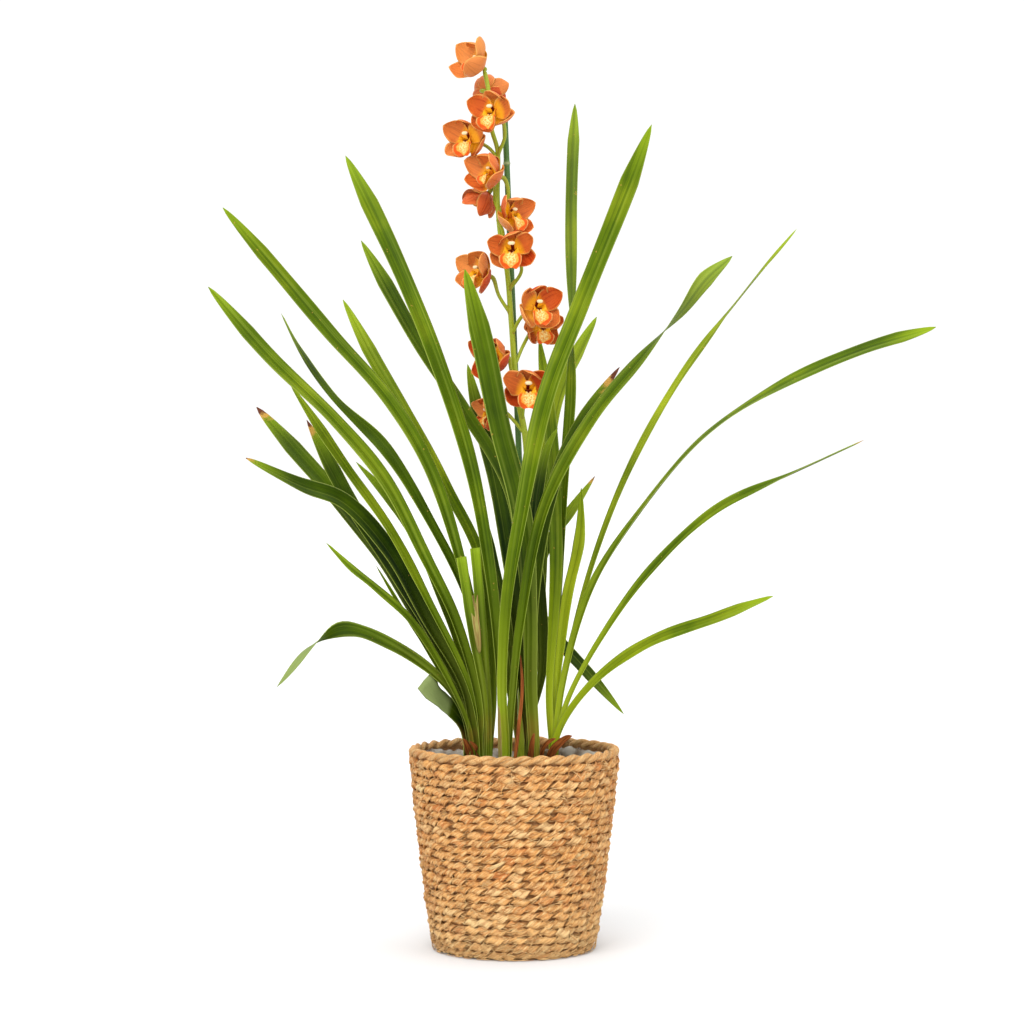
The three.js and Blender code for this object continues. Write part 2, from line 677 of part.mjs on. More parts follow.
function pocketGeometry(from, to, radius) {
  // Room in the bark round a rod that runs through two points.
  const ends = POCKET_HEIGHTS.map(
    (height) => from.clone().lerp(to, (height - from.z) / (to.z - from.z)));
  return tube(ends, radius + POCKET_PLAY, POCKET_SIDES, 1);
}

// Flowers: three sepals behind two petals, all cupped forwards round a column
// and a lip with three lobes.

const HUB_BACK = 5;
const HUB_FRONT = 1.6;
const HUB_RADIUS = 3;

// Where a tepal leaves the hub, and how many straight pieces its curve has.
const TEPAL_ROOT = 1.4;
const TEPAL_PIECES = 4;
const TEPAL_LEAN = 0.9;

// The bend at the hub and at the tip in degrees, of a closed and of an open flower.
const TEPAL_FIRST_BEND = [20, -16];
const TEPAL_LAST_BEND = [118, 66];

const TEPALS = [
  { angle: 0, length: 33, width: 22, back: 3.4, curl: 1.36, fold: 16 },
  { angle: 123, length: 32, width: 21, back: 3.4, curl: 1.04, fold: 14 },
  { angle: -123, length: 32, width: 21, back: 3.4, curl: 1.04, fold: 14 },
  { angle: 63, length: 31, width: 19, back: -0.8, curl: 0.78, fold: 16 },
  { angle: -63, length: 31, width: 19, back: -0.8, curl: 0.78, fold: 16 },
];

function tepalGeometry(tepal, open) {
  const turn = THREE.MathUtils.degToRad(tepal.angle);
  const outward = new THREE.Vector3(Math.sin(turn), 0, Math.cos(turn));
  const forward = new THREE.Vector3(0, -1, 0);
  const last = THREE.MathUtils.degToRad(blend(...TEPAL_LAST_BEND, open) * tepal.curl);
  const first = THREE.MathUtils.degToRad(blend(...TEPAL_FIRST_BEND, open));
  const points = [];
  const reach = new THREE.Vector3(0, tepal.back, 0).addScaledVector(outward, TEPAL_ROOT);
  const step = tepal.length / TEPAL_PIECES;
  for (let piece = 0; piece <= TEPAL_PIECES; piece += 1) {
    points.push(reach.clone());
    const bend = blend(first, last, (piece + 0.5) / TEPAL_PIECES);
    reach.addScaledVector(outward, Math.cos(bend) * step);
    reach.addScaledVector(forward, Math.sin(bend) * step);
  }
  const facing = () => forward.clone().addScaledVector(outward, -TEPAL_LEAN);
  const outline = (along) => Math.max(Math.sin(Math.PI * (0.06 + 0.86 * along)) ** 0.7, 0.16);
  return blade(points, { width: tepal.width, fold: () => tepal.fold, facing,
    thickness: TEPAL_THICKNESS, steps: TEPAL_PIECES, outline });
}

function petalsGeometry(open) {
  const hub = egg(HUB_RADIUS, HUB_RADIUS, -HUB_BACK, HUB_FRONT, 4, 3);
  hub.rotateX(Math.PI / 2);
  return joined([hub, ...TEPALS.map((tepal) => tepalGeometry(tepal, open))]);
}

// The lip is one blade: its side lobes stand up beside the column, and past a
// waist its middle lobe spreads and curls down.
const LIP_ROUTE = [[0, 2.4, -1], [0, 6.5, -3.6], [0, 11.5, -5.2], [0, 15.2, -9], [0, 15.6, -13.4],
  [0, 13.6, -18]];
const LIP_WIDTH = 23;
const LIP_STEPS = 5;
const LIP_LOBES = [[0, 0.2], [0.17, 0.7], [0.33, 0.8], [0.5, 0.5], [0.67, 0.95], [0.83, 0.9],
  [1, 0.35]];

// The column over the lip: how far forward and how high each ring stands, and
// its radius.
const COLUMN = [[2.2, 0.6, 1.5], [6.6, 4.2, 1.8], [10.4, 6.2, 2.4], [13.8, 5.8, 2.4]];
const COLUMN_SIDES = 5;

function between(table, at) {
  const next = Math.max(1, table.findIndex(([place]) => place >= at));
  const [[low, from], [high, to]] = [table[next - 1], table[next]];
  return blend(from, to, (at - low) / (high - low));
}

function lipGeometry() {
  const place = ([x, forward, z]) => new THREE.Vector3(x, -forward, z);
  const column = COLUMN.map(
    ([forward, height, radius]) => Array.from({ length: COLUMN_SIDES }, (_, side) => {
      const angle = side / COLUMN_SIDES * Math.PI * 2;
      return place([radius * Math.cos(angle), forward, height + radius * Math.sin(angle)]);
    }));
  const lip = blade(LIP_ROUTE.map(place), { width: LIP_WIDTH,
    fold: (along) => blend(56, 14, ease(0.38, 0.62, along)),
    facing: () => new THREE.Vector3(0, -0.5, 0.8), thickness: TEPAL_THICKNESS, steps: LIP_STEPS,
    outline: (along) => between(LIP_LOBES, along) });
  return joined([grid(column), lip]);
}

// The object

const group = new THREE.Group();

addMesh('basket', basketGeometry(), material(0xc98f52, 0.85));
addMesh('basket_rim', rimGeometry(), material(0xd9a566, 0.8));
addMesh('liner', linerGeometry(), material(0xb9b9b6, 0.35));
addMesh('nursery_pot', potGeometry(), material(0x2b2622, 0.5));

const pockets = [
  ...GROWTHS.map((growth) => bulbGeometry(growth.foot, GAP)),
  pocketGeometry(stemPoints[0], stemPoints[1], STEM_RADIUS),
  pocketGeometry(stakeFoot, stakeHead, STAKE_RADIUS),
];
const bark = pockets.map(solid).reduce((whole, pocket) => whole.subtract(pocket),
  solid(barkGeometry()));
addMesh('bark', shape(bark), material(0x4a3424, 0.95));

for (const growth of GROWTHS) {
  addMesh(growth.name, growthGeometry(growth), material(growth.colour, 0.45));
}
addMesh('flower_stem', stemGeometry(), material(0x7f9a2a, 0.5));
addMesh('stake', stakeGeometry(), material(0x1f4a2c, 0.5));

BLOOMS.forEach((bloom, number) => {
  const turn = bloomTurn(bloom);
  const centre = seen(...bloom.at);
  const label = String(number + 1).padStart(2, '0');
  const petals = addMesh(`bloom_${label}_petals`, petalsGeometry(bloom.open),
    material(0xcf6a36, 0.55));
  const lip = addMesh(`bloom_${label}_lip`, lipGeometry(), material(0xf3c877, 0.5));
  for (const mesh of [petals, lip]) {
    mesh.position.copy(centre);
    mesh.rotation.copy(turn);
    mesh.scale.setScalar(bloom.size);
  }
});

export default group;
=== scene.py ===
"""Looks of a flowering cymbidium orchid that stands in a coiled seagrass basket.

Every shape is a surface worked out with numpy in millimetres, on a grid of two
parameters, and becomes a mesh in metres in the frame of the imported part: +Z up,
+X to the right and +Y away from the viewer, with the origin in the middle of
the basket's underside.
"""

import logging
import math
from dataclasses import dataclass, field
from enum import Enum
from typing import Callable, Sequence

import bpy
import numpy as np
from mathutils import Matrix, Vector


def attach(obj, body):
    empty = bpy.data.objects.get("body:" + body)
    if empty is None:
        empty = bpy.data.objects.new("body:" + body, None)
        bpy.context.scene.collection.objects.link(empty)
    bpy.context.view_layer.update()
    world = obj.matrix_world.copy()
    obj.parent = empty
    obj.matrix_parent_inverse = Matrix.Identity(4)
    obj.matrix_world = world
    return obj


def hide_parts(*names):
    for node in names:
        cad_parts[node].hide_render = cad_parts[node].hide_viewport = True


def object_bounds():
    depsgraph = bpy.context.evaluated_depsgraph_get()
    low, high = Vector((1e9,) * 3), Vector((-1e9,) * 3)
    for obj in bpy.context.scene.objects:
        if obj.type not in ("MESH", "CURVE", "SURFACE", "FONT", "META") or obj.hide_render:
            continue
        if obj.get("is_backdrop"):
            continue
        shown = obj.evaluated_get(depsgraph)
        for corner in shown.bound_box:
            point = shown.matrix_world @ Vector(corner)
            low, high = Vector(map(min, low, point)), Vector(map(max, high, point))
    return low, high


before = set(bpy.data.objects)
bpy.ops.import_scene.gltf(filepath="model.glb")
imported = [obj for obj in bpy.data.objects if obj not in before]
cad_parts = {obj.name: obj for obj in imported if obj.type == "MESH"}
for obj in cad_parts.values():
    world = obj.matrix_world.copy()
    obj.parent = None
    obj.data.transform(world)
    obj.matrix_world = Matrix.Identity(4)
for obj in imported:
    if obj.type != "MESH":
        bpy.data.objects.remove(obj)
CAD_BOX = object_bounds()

LOG = logging.getLogger("orchid")
MM = 0.001

Array = np.ndarray
Marks = dict[str, Array | float]
Point = tuple[float, float, float]
Colour = tuple[float, float, float, float]

# The plant's routes are sizes on the upright plane through the basket's axis, as
# an eye at this height and distance sees them, with each point's true depth.
EYE_DISTANCE = 3000.0
EYE_HEIGHT = 520.0

# How much brighter than its own colour the studio shows a face that looks at it.
LIGHT_LEVEL = 1.42

UP = np.array([0.0, 0.0, 1.0])


def paint(red: float, green: float, blue: float) -> Colour:
    """Base colour that the studio's light brings up to a screen colour.

    Args:
        red, green, blue: The screen colour, from 0 to 255.

    Returns:
        The linear colour with full alpha.
    """
    scaled = [value / 255 for value in (red, green, blue)]
    straight = [v / 12.92 if v <= 0.04045 else ((v + 0.055) / 1.055) ** 2.4 for v in scaled]
    return (*(v / LIGHT_LEVEL for v in straight), 1.0)


def blend(start: float | Array, end: float | Array, at: float | Array) -> Array:
    """Straight mix of two values: start where at is 0 and end where it is 1."""
    return start + (end - start) * at


def ease(low: float, high: float, value: Array) -> Array:
    """Smooth step: 0 below low, 1 above high, and 3t^2 - 2t^3 between them."""
    step = np.clip((value - low) / (high - low), 0, 1)
    return step * step * (3 - 2 * step)


def bell(value: Array) -> Array:
    """1 where the value is 0, falling off on both sides as exp(-value^2)."""
    return np.exp(-(value**2))


def unit(vectors: Array) -> Array:
    """Vectors of the same directions with length 1."""
    return vectors / np.maximum(np.linalg.norm(vectors, axis=-1, keepdims=True), 1e-9)


def square_to(heading: Array, facing: Array) -> Array:
    """The direction of length 1 that is square to the heading and nearest to facing."""
    return unit(facing - heading * np.sum(facing * heading, axis=-1, keepdims=True))


def twisted(side: Array, upper: Array, twist: Array) -> tuple[Array, Array]:
    """Two directions across a line, turned round it by an angle for each step."""
    cos, sin = np.cos(twist)[:, None], np.sin(twist)[:, None]
    return side * cos + upper * sin, upper * cos - side * sin


def full_turn(count: int) -> Array:
    """A number of evenly spaced angles round a full turn, from 0."""
    return np.arange(count) / count * math.tau


def round_axis(out: Array | float, angle: Array, height: Array | float) -> Array:
    """Points at a distance out from the upright axis, at an angle round it and a height."""
    return np.stack(np.broadcast_arrays(out * np.cos(angle), out * np.sin(angle), height),
                    axis=-1)


def seen(places: Sequence[Point]) -> Array:
    """Places a route's points in space.

    A point that the eye sees at (across, up) on the upright plane lies at depth
    d where its distances from the eye's axis are grown by 1 + d / EYE_DISTANCE.

    Args:
        places: Points as (across, up, depth), in millimetres.

    Returns:
        The points as rows of x, y and z.
    """
    across, up, deep = np.array(places, float).T
    grow = 1 + deep / EYE_DISTANCE
    return np.stack([across * grow, deep, EYE_HEIGHT + (up - EYE_HEIGHT) * grow], axis=1)


class Route:
    """A smooth line through given points, read by the share of its length."""

    STEPS_A_SPAN = 40

    def __init__(self, points: Array) -> None:
        """Runs a centripetal Catmull-Rom spline through the points.

        Between two points the spline is the cubic c0 + c1 t + c2 t^2 + c3 t^3
        whose ends and end slopes come from the four points round the span.

        Args:
            points: The points, one row each; the line starts and ends on them.
        """
        first = 2 * points[0] - points[1]
        last = 2 * points[-1] - points[-2]
        around = np.vstack([first, points, last])
        gaps = np.sqrt(np.linalg.norm(np.diff(around, axis=0), axis=1))[:, None]
        before, span, after = gaps[:-2], gaps[1:-1], gaps[2:]
        p0, p1, p2, p3 = around[:-3], around[1:-2], around[2:-1], around[3:]
        leave = ((p1 - p0) / before - (p2 - p0) / (before + span) + (p2 - p1) / span) * span
        arrive = ((p2 - p1) / span - (p3 - p1) / (span + after) + (p3 - p2) / after) * span
        t = np.linspace(0, 1, self.STEPS_A_SPAN, endpoint=False)[None, :, None]
        c2 = (-3 * p1 + 3 * p2 - 2 * leave - arrive)[:, None]
        c3 = (2 * p1 - 2 * p2 + leave + arrive)[:, None]
        fine = p1[:, None] + leave[:, None] * t + c2 * t**2 + c3 * t**3
        self.fine = np.vstack([fine.reshape(-1, 3), points[-1:]])
        steps = np.linalg.norm(np.diff(self.fine, axis=0), axis=1)
        self.marks = np.concatenate([[0], np.cumsum(steps)])
        self.length = float(self.marks[-1])

    def at(self, along: Array) -> Array:
        """Points at shares of the length.

        Args:
            along: Shares from 0 to 1, or a single one.

        Returns:
            One row of x, y and z for each share, or a single point.
        """
        wanted = np.asarray(along) * self.length
        return np.stack([np.interp(wanted, self.marks, self.fine[:, axis])
                         for axis in range(3)], axis=-1)

    def heading(self, along: Array) -> Array:
        """Directions of the line at shares of the length, each of length 1."""
        nudge = 2.0 / self.length
        ahead = self.at(np.clip(np.asarray(along) + nudge, 0, 1))
        behind = self.at(np.clip(np.asarray(along) - nudge, 0, 1))
        return unit(ahead - behind)


@dataclass
class Patch:
    """A closed surface with the numbers that its finish reads at each corner."""

    points: Array
    quads: Array
    triangles: Array
    marks: Marks = field(default_factory=dict)

    def outward(self) -> "Patch":
        """Turns the faces round if they point inwards: the signed volume tells."""
        corners = [self.quads[:, [0, 1, 2]], self.quads[:, [0, 2, 3]], self.triangles]
        faces = self.points[np.vstack(corners)]
        volume = np.einsum("ij,ij->", faces[:, 0], np.cross(faces[:, 1], faces[:, 2]))
        if volume < 0:
            self.quads = self.quads[:, ::-1]
            self.triangles = self.triangles[:, ::-1]
        return self


def skin(rings: Array, marks: Marks | None = None, looped: bool = False) -> Patch:
    """Closes a run of rings into one body.

    Neighbouring rings are joined by quads. Unless the run loops back to its
    start, each end is closed by a flat cap that pairs corner i with its mirror.

    Args:
        rings: Corners of shape (rings, corners in a ring, 3); a ring's corner
            count is even.
        marks: Numbers by name that spread to (rings, corners in a ring).
        looped: Whether the last ring joins the first one.

    Returns:
        The closed patch, with its faces pointing out.
    """
    rows, count = rings.shape[:2]
    row = np.arange(rows if looped else rows - 1)[:, None]
    side = np.arange(count)[None, :]
    following = (side + 1) % count
    after = (row + 1) % rows
    quads = np.stack([row * count + side, row * count + following,
                      after * count + following, after * count + side], axis=-1).reshape(-1, 4)
    triangles = np.zeros((0, 3), int)
    if not looped:
        half = count // 2
        i = np.arange(1, half - 1)
        cap = np.stack([i, i + 1, count - 1 - i, count - i], axis=-1)
        ends = np.array([[0, 1, count - 1], [half - 1, half, half + 1]])
        last = (rows - 1) * count
        quads = np.vstack([quads, cap[:, ::-1], cap + last])
        triangles = np.vstack([ends[:, ::-1], ends + last])
    flat = {name: np.broadcast_to(value, (rows, count)).reshape(-1)
            for name, value in (marks or {}).items()}
    return Patch(rings.reshape(-1, 3), quads, triangles, flat).outward()


def skin_many(rings: Array, marks: Marks) -> Patch:
    """Closes many runs of rings at once.

    Args:
        rings: Corners of shape (runs, rings, corners in a ring, 3).
        marks: Numbers by name that spread to (runs, rings, corners in a ring).

    Returns:
        One patch that holds every run as its own closed body.
    """
    runs, rows, count = rings.shape[:3]
    first = skin(rings[0])
    step = np.arange(runs)[:, None, None] * rows * count
    flat = {name: np.broadcast_to(value, (runs, rows, count)).reshape(-1)
            for name, value in marks.items()}
    return Patch(rings.reshape(-1, 3), (first.quads[None] + step).reshape(-1, 4),
                 (first.triangles[None] + step).reshape(-1, 3), flat)


def sections(centre: Array, first: Array, second: Array, along_first: Array,
             along_second: Array) -> Array:
    """The corners of sections across a line.

    Args:
        centre, first, second: The line's points and each section's two
            directions, of shape (..., 3).
        along_first, along_second: How far each corner lies along the two, of a
            shape that spreads to (..., corners).

    Returns:
        The corners, of shape (..., corners, 3).
    """
    return centre[..., None, :] + first[..., None, :] * along_first[..., None] \
        + second[..., None, :] * along_second[..., None]


def blade(centre: Array, side: Array, upper: Array, lateral: Array, rise: Array,
          thick: Array | float, marks: Marks) -> Patch:
    """A thin leaf-like body round a line.

    At each step the section is the curve (lateral, rise) in the plane of side
    and upper, moved by half the thickness to both sides along its own normal;
    the two faces share their edges.

    Args:
        centre, side, upper: The line's points and the section's two directions.
        lateral, rise: The section, of shape (steps, points across).
        thick: The thickness, which spreads to the same shape.
        marks: Numbers by name that spread to the same shape.

    Returns:
        The closed patch, with a mark under that is 1 on the lower face.
    """
    slope_x, slope_z = np.gradient(lateral, axis=1), np.gradient(rise, axis=1)
    scale = np.maximum(np.hypot(slope_x, slope_z), 1e-9)
    normal = sections(0 * centre, side, upper, -slope_z / scale, slope_x / scale)
    middle = sections(centre, side, upper, lateral, rise)
    thin = np.array(np.broadcast_to(thick, lateral.shape))
    thin[:, [0, -1]] = 0
    offset = normal * thin[..., None] / 2
    rings = np.concatenate([middle + offset, (middle - offset)[:, -2:0:-1]], axis=1)
    around = {}
    for name, value in marks.items():
        spread = np.broadcast_to(value, lateral.shape)
        around[name] = np.concatenate([spread, spread[:, -2:0:-1]], axis=1)
    points = lateral.shape[1]
    under = np.repeat([0.0, 1.0], [points, points - 2])
    under[[0, points - 1]] = 0.5
    around["under"] = under
    return skin(rings, around)


def tube(line: Route, radius: Callable[[Array], Array], steps: int, sides: int,
         marks: Marks) -> Patch:
    """A round stalk along a line.

    Each ring is a circle of the given radius in the plane across the line, with
    a fixed helper direction so that the rings don't twist.

    Args:
        line: The stalk's middle.
        radius: The radius at shares of the length.
        steps: How many spans the stalk has.
        sides: How many corners a ring has, an even number.
        marks: Further numbers by name that spread to (rings, corners in a ring).

    Returns:
        The closed patch, with marks along and turn.
    """
    along = np.linspace(0, 1, steps + 1)
    heading = line.heading(along)
    helper = np.array([0.31, 0.87, 0.24])
    first = unit(np.cross(heading, helper))
    turn = full_turn(sides)
    wide = radius(along)[:, None]
    rings = sections(line.at(along), first, np.cross(heading, first), wide * np.cos(turn),
                     wide * np.sin(turn))
    return skin(rings, {**marks, "along": (along * line.length)[:, None], "turn": turn})


class Piece:
    """Collects patches and makes them one object of the dressed part."""

    def __init__(self, name: str) -> None:
        """Starts an empty piece.

        Args:
            name: The object's name.
        """
        self.name = name
        self.patches: list[Patch] = []

    def add(self, *patches: Patch) -> "Piece":
        """Adds patches to the piece and returns it."""
        self.patches.extend(patches)
        return self

    def build(self, material: bpy.types.Material, slot: str, *nodes: str) -> bpy.types.Object:
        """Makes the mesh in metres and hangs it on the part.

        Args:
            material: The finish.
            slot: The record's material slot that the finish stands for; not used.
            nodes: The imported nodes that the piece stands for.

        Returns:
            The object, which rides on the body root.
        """
        starts = np.cumsum([0] + [len(patch.points) for patch in self.patches])
        points = np.vstack([patch.points for patch in self.patches]) * MM
        quads = np.vstack([p.quads + start for p, start in zip(self.patches, starts)])
        triangles = np.vstack([p.triangles + start for p, start in zip(self.patches, starts)])
        mesh = bpy.data.meshes.new(self.name)
        mesh.vertices.add(len(points))
        mesh.vertices.foreach_set("co", points.ravel())
        loops = np.concatenate([quads.ravel(), triangles.ravel()])
        mesh.loops.add(len(loops))
        mesh.loops.foreach_set("vertex_index", loops)
        sizes = np.concatenate([np.full(len(quads), 4), np.full(len(triangles), 3)])
        mesh.polygons.add(len(sizes))
        mesh.polygons.foreach_set("loop_start", np.concatenate([[0], np.cumsum(sizes)[:-1]]))
        mesh.polygons.foreach_set("use_smooth", np.ones(len(sizes), bool))
        for name in sorted({name for patch in self.patches for name in patch.marks}):
            layer = mesh.attributes.new(name, "FLOAT", "POINT")
            values = [patch.marks.get(name, np.zeros(len(patch.points)))
                      for patch in self.patches]
            layer.data.foreach_set("value", np.concatenate(values).astype(np.float32))
        mesh.update(calc_edges=True)
        mesh.validate()
        mesh.materials.append(material)
        body = bpy.data.objects.new(self.name, mesh)
        bpy.context.scene.collection.objects.link(body)
        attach(body, "root")
        if nodes:
            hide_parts(*nodes)
        LOG.info("%s: %d triangles", self.name, 2 * len(quads) + len(triangles))
        return body


class Wire:
    """A shader socket that can stand in a Python sum, product or comparison."""

    def __init__(self, recipe: "Recipe", socket: bpy.types.NodeSocket) -> None:
        """Wraps an output socket of the recipe's tree."""
        self.recipe = recipe
        self.socket = socket

    def _with(self, operation: str, *values: "Wire | float") -> "Wire":
        """Adds one Math node that works on the given values."""
        return self.recipe.node("Math", {"operation": operation}, dict(enumerate(values)))

    def __add__(self, other: "Wire | float") -> "Wire":
        """Sum."""
        return self._with("ADD", self, other)

    def __sub__(self, other: "Wire | float") -> "Wire":
        """Difference."""
        return self._with("SUBTRACT", self, other)

    def __rsub__(self, other: float) -> "Wire":
        """Difference from a number."""
        return self._with("SUBTRACT", other, self)

    def __mul__(self, other: "Wire | float") -> "Wire":
        """Product."""
        return self._with("MULTIPLY", self, other)

    __radd__ = __add__
    __rmul__ = __mul__

    def absolute(self) -> "Wire":
        """The value without its sign."""
        return self._with("ABSOLUTE", self)

    def between(self, low: float, high: float) -> "Wire":
        """0 at low and 1 at high, with a smooth step between; high may be the lower one."""
        return self.recipe.node("MapRange", {"interpolation_type": "SMOOTHSTEP"},
                                {"Value": self, "From Min": low, "From Max": high})


class Recipe:
    """The node tree of one finish, written as expressions."""

    def __init__(self, name: str) -> None:
        """Starts a material with an empty tree, a Principled shader and its output.

        Args:
            name: The material's name.
        """
        self.material = bpy.data.materials.new(name)
        self.material.use_nodes = True
        self.tree = self.material.node_tree
        self.tree.nodes.clear()
        self.shader = self.tree.nodes.new("ShaderNodeBsdfPrincipled")
        output = self.tree.nodes.new("ShaderNodeOutputMaterial")
        self.tree.links.new(self.shader.outputs["BSDF"], output.inputs["Surface"])

    def node(self, kind: str, settings: dict[str, object],
             values: dict[str | int, object], outlet: str | int = 0) -> Wire:
        """Adds a node.

        Args:
            kind: The node's type without its ShaderNode prefix.
            settings: Properties, set first; stops fills a colour ramp.
            values: Numbers, colours or wires by socket name or number.
            outlet: The output socket to hand back.

        Returns:
            The output as a wire.
        """
        node = self.tree.nodes.new("ShaderNode" + kind)
        for name, setting in settings.items():
            if name == "stops":
                self._fill_ramp(node.color_ramp, setting)
            else:
                setattr(node, name, setting)
        for name, value in values.items():
            self._feed(node.inputs[name], value)
        return Wire(self, node.outputs[outlet])

    def _feed(self, socket: bpy.types.NodeSocket, value: object) -> None:
        """Links a wire to a socket, or sets a plain value on it."""
        if isinstance(value, Wire):
            self.tree.links.new(value.socket, socket)
        else:
            socket.default_value = value

    @staticmethod
    def _fill_ramp(ramp: bpy.types.ColorRamp,
                   stops: Sequence[tuple[float, Sequence[float]]]) -> None:
        """Gives a colour ramp its stops, as pairs of place and colour."""
        while len(ramp.elements) < len(stops):
            ramp.elements.new(1.0)
        for element, (place, colour) in zip(ramp.elements, stops):
            element.position = place
            element.color = colour

    def mark(self, name: str) -> Wire:
        """The number that the mesh stores under a name at each corner."""
        return self.node("Attribute", {"attribute_name": name}, {}, "Fac")

    def place(self) -> Wire:
        """The point's place in the object."""
        return self.node("TexCoord", {}, {}, "Object")

    def vector(self, x: Wire | float, y: Wire | float, z: Wire | float) -> Wire:
        """A vector of three numbers."""
        return self.node("CombineXYZ", {}, {"X": x, "Y": y, "Z": z})

    def noise(self, where: Wire, scale: float, detail: float = 2.0, rough: float = 0.5) -> Wire:
        """Cloudy noise from 0 to 1 round 0.5 at a place."""
        return self.node("TexNoise", {}, {"Vector": where, "Scale": scale, "Detail": detail,
                                          "Roughness": rough}, "Fac")

    def mix(self, factor: Wire | float, first: object, second: object) -> Wire:
        """Colour that goes from the first to the second as the factor rises."""
        return self.node("Mix", {"data_type": "RGBA", "clamp_factor": True},
                         {0: factor, 6: first, 7: second}, 2)

    def ramp(self, factor: Wire, *stops: tuple[float, Sequence[float]]) -> Wire:
        """Colour read from a row of stops."""
        return self.node("ValToRGB", {"stops": stops}, {"Fac": factor})

    def bump(self, height: Wire, depth_mm: float) -> Wire:
        """Normal of a surface raised by height times the depth."""
        return self.node("Bump", {}, {"Height": height, "Distance": depth_mm * MM,
                                      "Strength": 1.0})

    def finish(self, **sockets: object) -> bpy.types.Material:
        """Feeds the shader and hands back the material.

        Args:
            sockets: Wires or numbers by socket name, with _ for each space.

        Returns:
            The finished material.
        """
        for name, value in sockets.items():
            self._feed(self.shader.inputs[name.replace("_", " ")], value)
        return self.material


@dataclass(frozen=True)
class SeagrassFinish:
    """Dry seagrass: tan, pale and ruddy strands, with painted highlight and shade along the
    fibres, paler at the foot.
    """

    name: str
    tan: Colour = paint(235, 172, 98)
    # light: a pale strand's own colour, and the painted highlight along the fibres.
    light: Colour = paint(246, 204, 142)
    ruddy: Colour = paint(216, 130, 62)
    straw: Colour = paint(242, 210, 146)
    # shade: painted shade between the fibres.
    shade: Colour = paint(172, 100, 40)
    # crevice_shade: painted shade in the tucks and between the rows.
    crevice_shade: Colour = paint(98, 42, 0)
    fibres_across: float = 2.3

    def make(self) -> bpy.types.Material:
        """Colour by strand, with painted highlight and shade along and between the fibres and in
        the tucks, paler low down.
        """
        r = Recipe(self.name)
        tone, along, across = r.mark("tone"), r.mark("along"), r.mark("across")
        streaks = r.noise(r.vector(across * self.fibres_across, along * 0.1, tone * 91), 1.0,
                          4.0, 0.65)
        blotches = r.noise(r.place(), 48.0, 3.0)
        fibre_gap_noise = r.noise(r.place(), 520.0, 2.0, 0.6)
        strand = r.ramp(tone, (0.0, self.ruddy), (0.3, self.tan), (0.6, self.tan),
                        (0.88, self.light), (1.0, self.straw))
        # The streaks are partly the fibres' own colour and partly painted highlight and shade on
        # their relief.
        fibre_highlit = r.mix(streaks.between(0.52, 0.6), strand, self.light)
        shaded = r.mix(streaks.between(0.48, 0.4) * 0.8, fibre_highlit, self.shade)
        mottled = r.mix(blotches.between(0.56, 0.74) * 0.45, shaded, self.ruddy)
        # Painted shade in the fine gaps between the fibres.
        gap_shaded = r.mix(fibre_gap_noise.between(0.58, 0.72) * 0.55, mottled, self.shade)
        # Paler towards the foot.
        low = r.node("SeparateXYZ", {}, {0: r.place()}, "Z").between(0.09, 0.0)
        paler_low = r.mix(low * 0.26, gap_shaded, self.straw)
        # Painted shade where strands tuck under, between the rows and in the rope's crease.
        colour = r.mix(r.mark("tuck"), paler_low, self.crevice_shade)
        relief = r.bump(streaks, 1.1)
        return r.finish(Base_Color=colour, Roughness=0.6 + 0.2 * streaks, Normal=relief,
                        Specular_IOR_Level=0.3)


@dataclass(frozen=True)
class FilmFinish:
    """Thin crumpled plastic film, cloudy and half see-through."""

    dull: Colour = paint(140, 114, 88)
    milky_and_highlight: Colour = paint(240, 230, 216)

    def make(self) -> bpy.types.Material:
        """Grey-brown film, milkier on its folds: partly its own whitening, partly painted
        highlight.
        """
        r = Recipe("crumpled film")
        folds = r.noise(r.place(), 36.0, 3.0, 0.5)
        # The folds turn milky: partly the film's own whitening, partly painted highlight.
        colour = r.mix(folds.between(0.4, 0.62), self.dull, self.milky_and_highlight)
        return r.finish(Base_Color=colour, Alpha=0.4 + 0.45 * folds, Roughness=0.2 + 0.2 * folds,
                        Normal=r.bump(folds, 3.0))


@dataclass(frozen=True)
class PotFinish:
    """Dark moulded plastic of a nursery pot."""

    plastic: Colour = paint(40, 35, 31)
    dust: Colour = paint(92, 80, 66)

    def make(self) -> bpy.types.Material:
        """Near-black brown with a faint moulding grain and dust."""
        r = Recipe("nursery pot plastic")
        grain = r.noise(r.place(), 900.0, 2.0)
        dust = r.noise(r.place(), 30.0, 4.0)
        colour = r.mix(dust.between(0.45, 0.75) * 0.5, self.plastic, self.dust)
        return r.finish(Base_Color=colour, Roughness=0.42 + 0.25 * dust,
                        Normal=r.bump(grain, 0.1))


@dataclass(frozen=True)
class BarkFinish:
    """Damp bark chips, each with its own brown."""

    dark: Colour = paint(44, 28, 18)
    brown: Colour = paint(84, 54, 34)
    light: Colour = paint(134, 92, 58)
    grain: Colour = paint(58, 38, 25)

    def make(self) -> bpy.types.Material:
        """Brown by chip, streaked along the grain."""
        r = Recipe("bark chips")
        grain = r.noise(r.place(), 260.0, 6.0, 0.65)
        chip = r.ramp(r.mark("tone"), (0.0, self.dark), (0.5, self.brown), (1.0, self.light))
        colour = r.mix(grain.between(0.4, 0.7), chip, self.grain)
        return r.finish(Base_Color=colour, Roughness=0.9, Normal=r.bump(grain, 1.2))


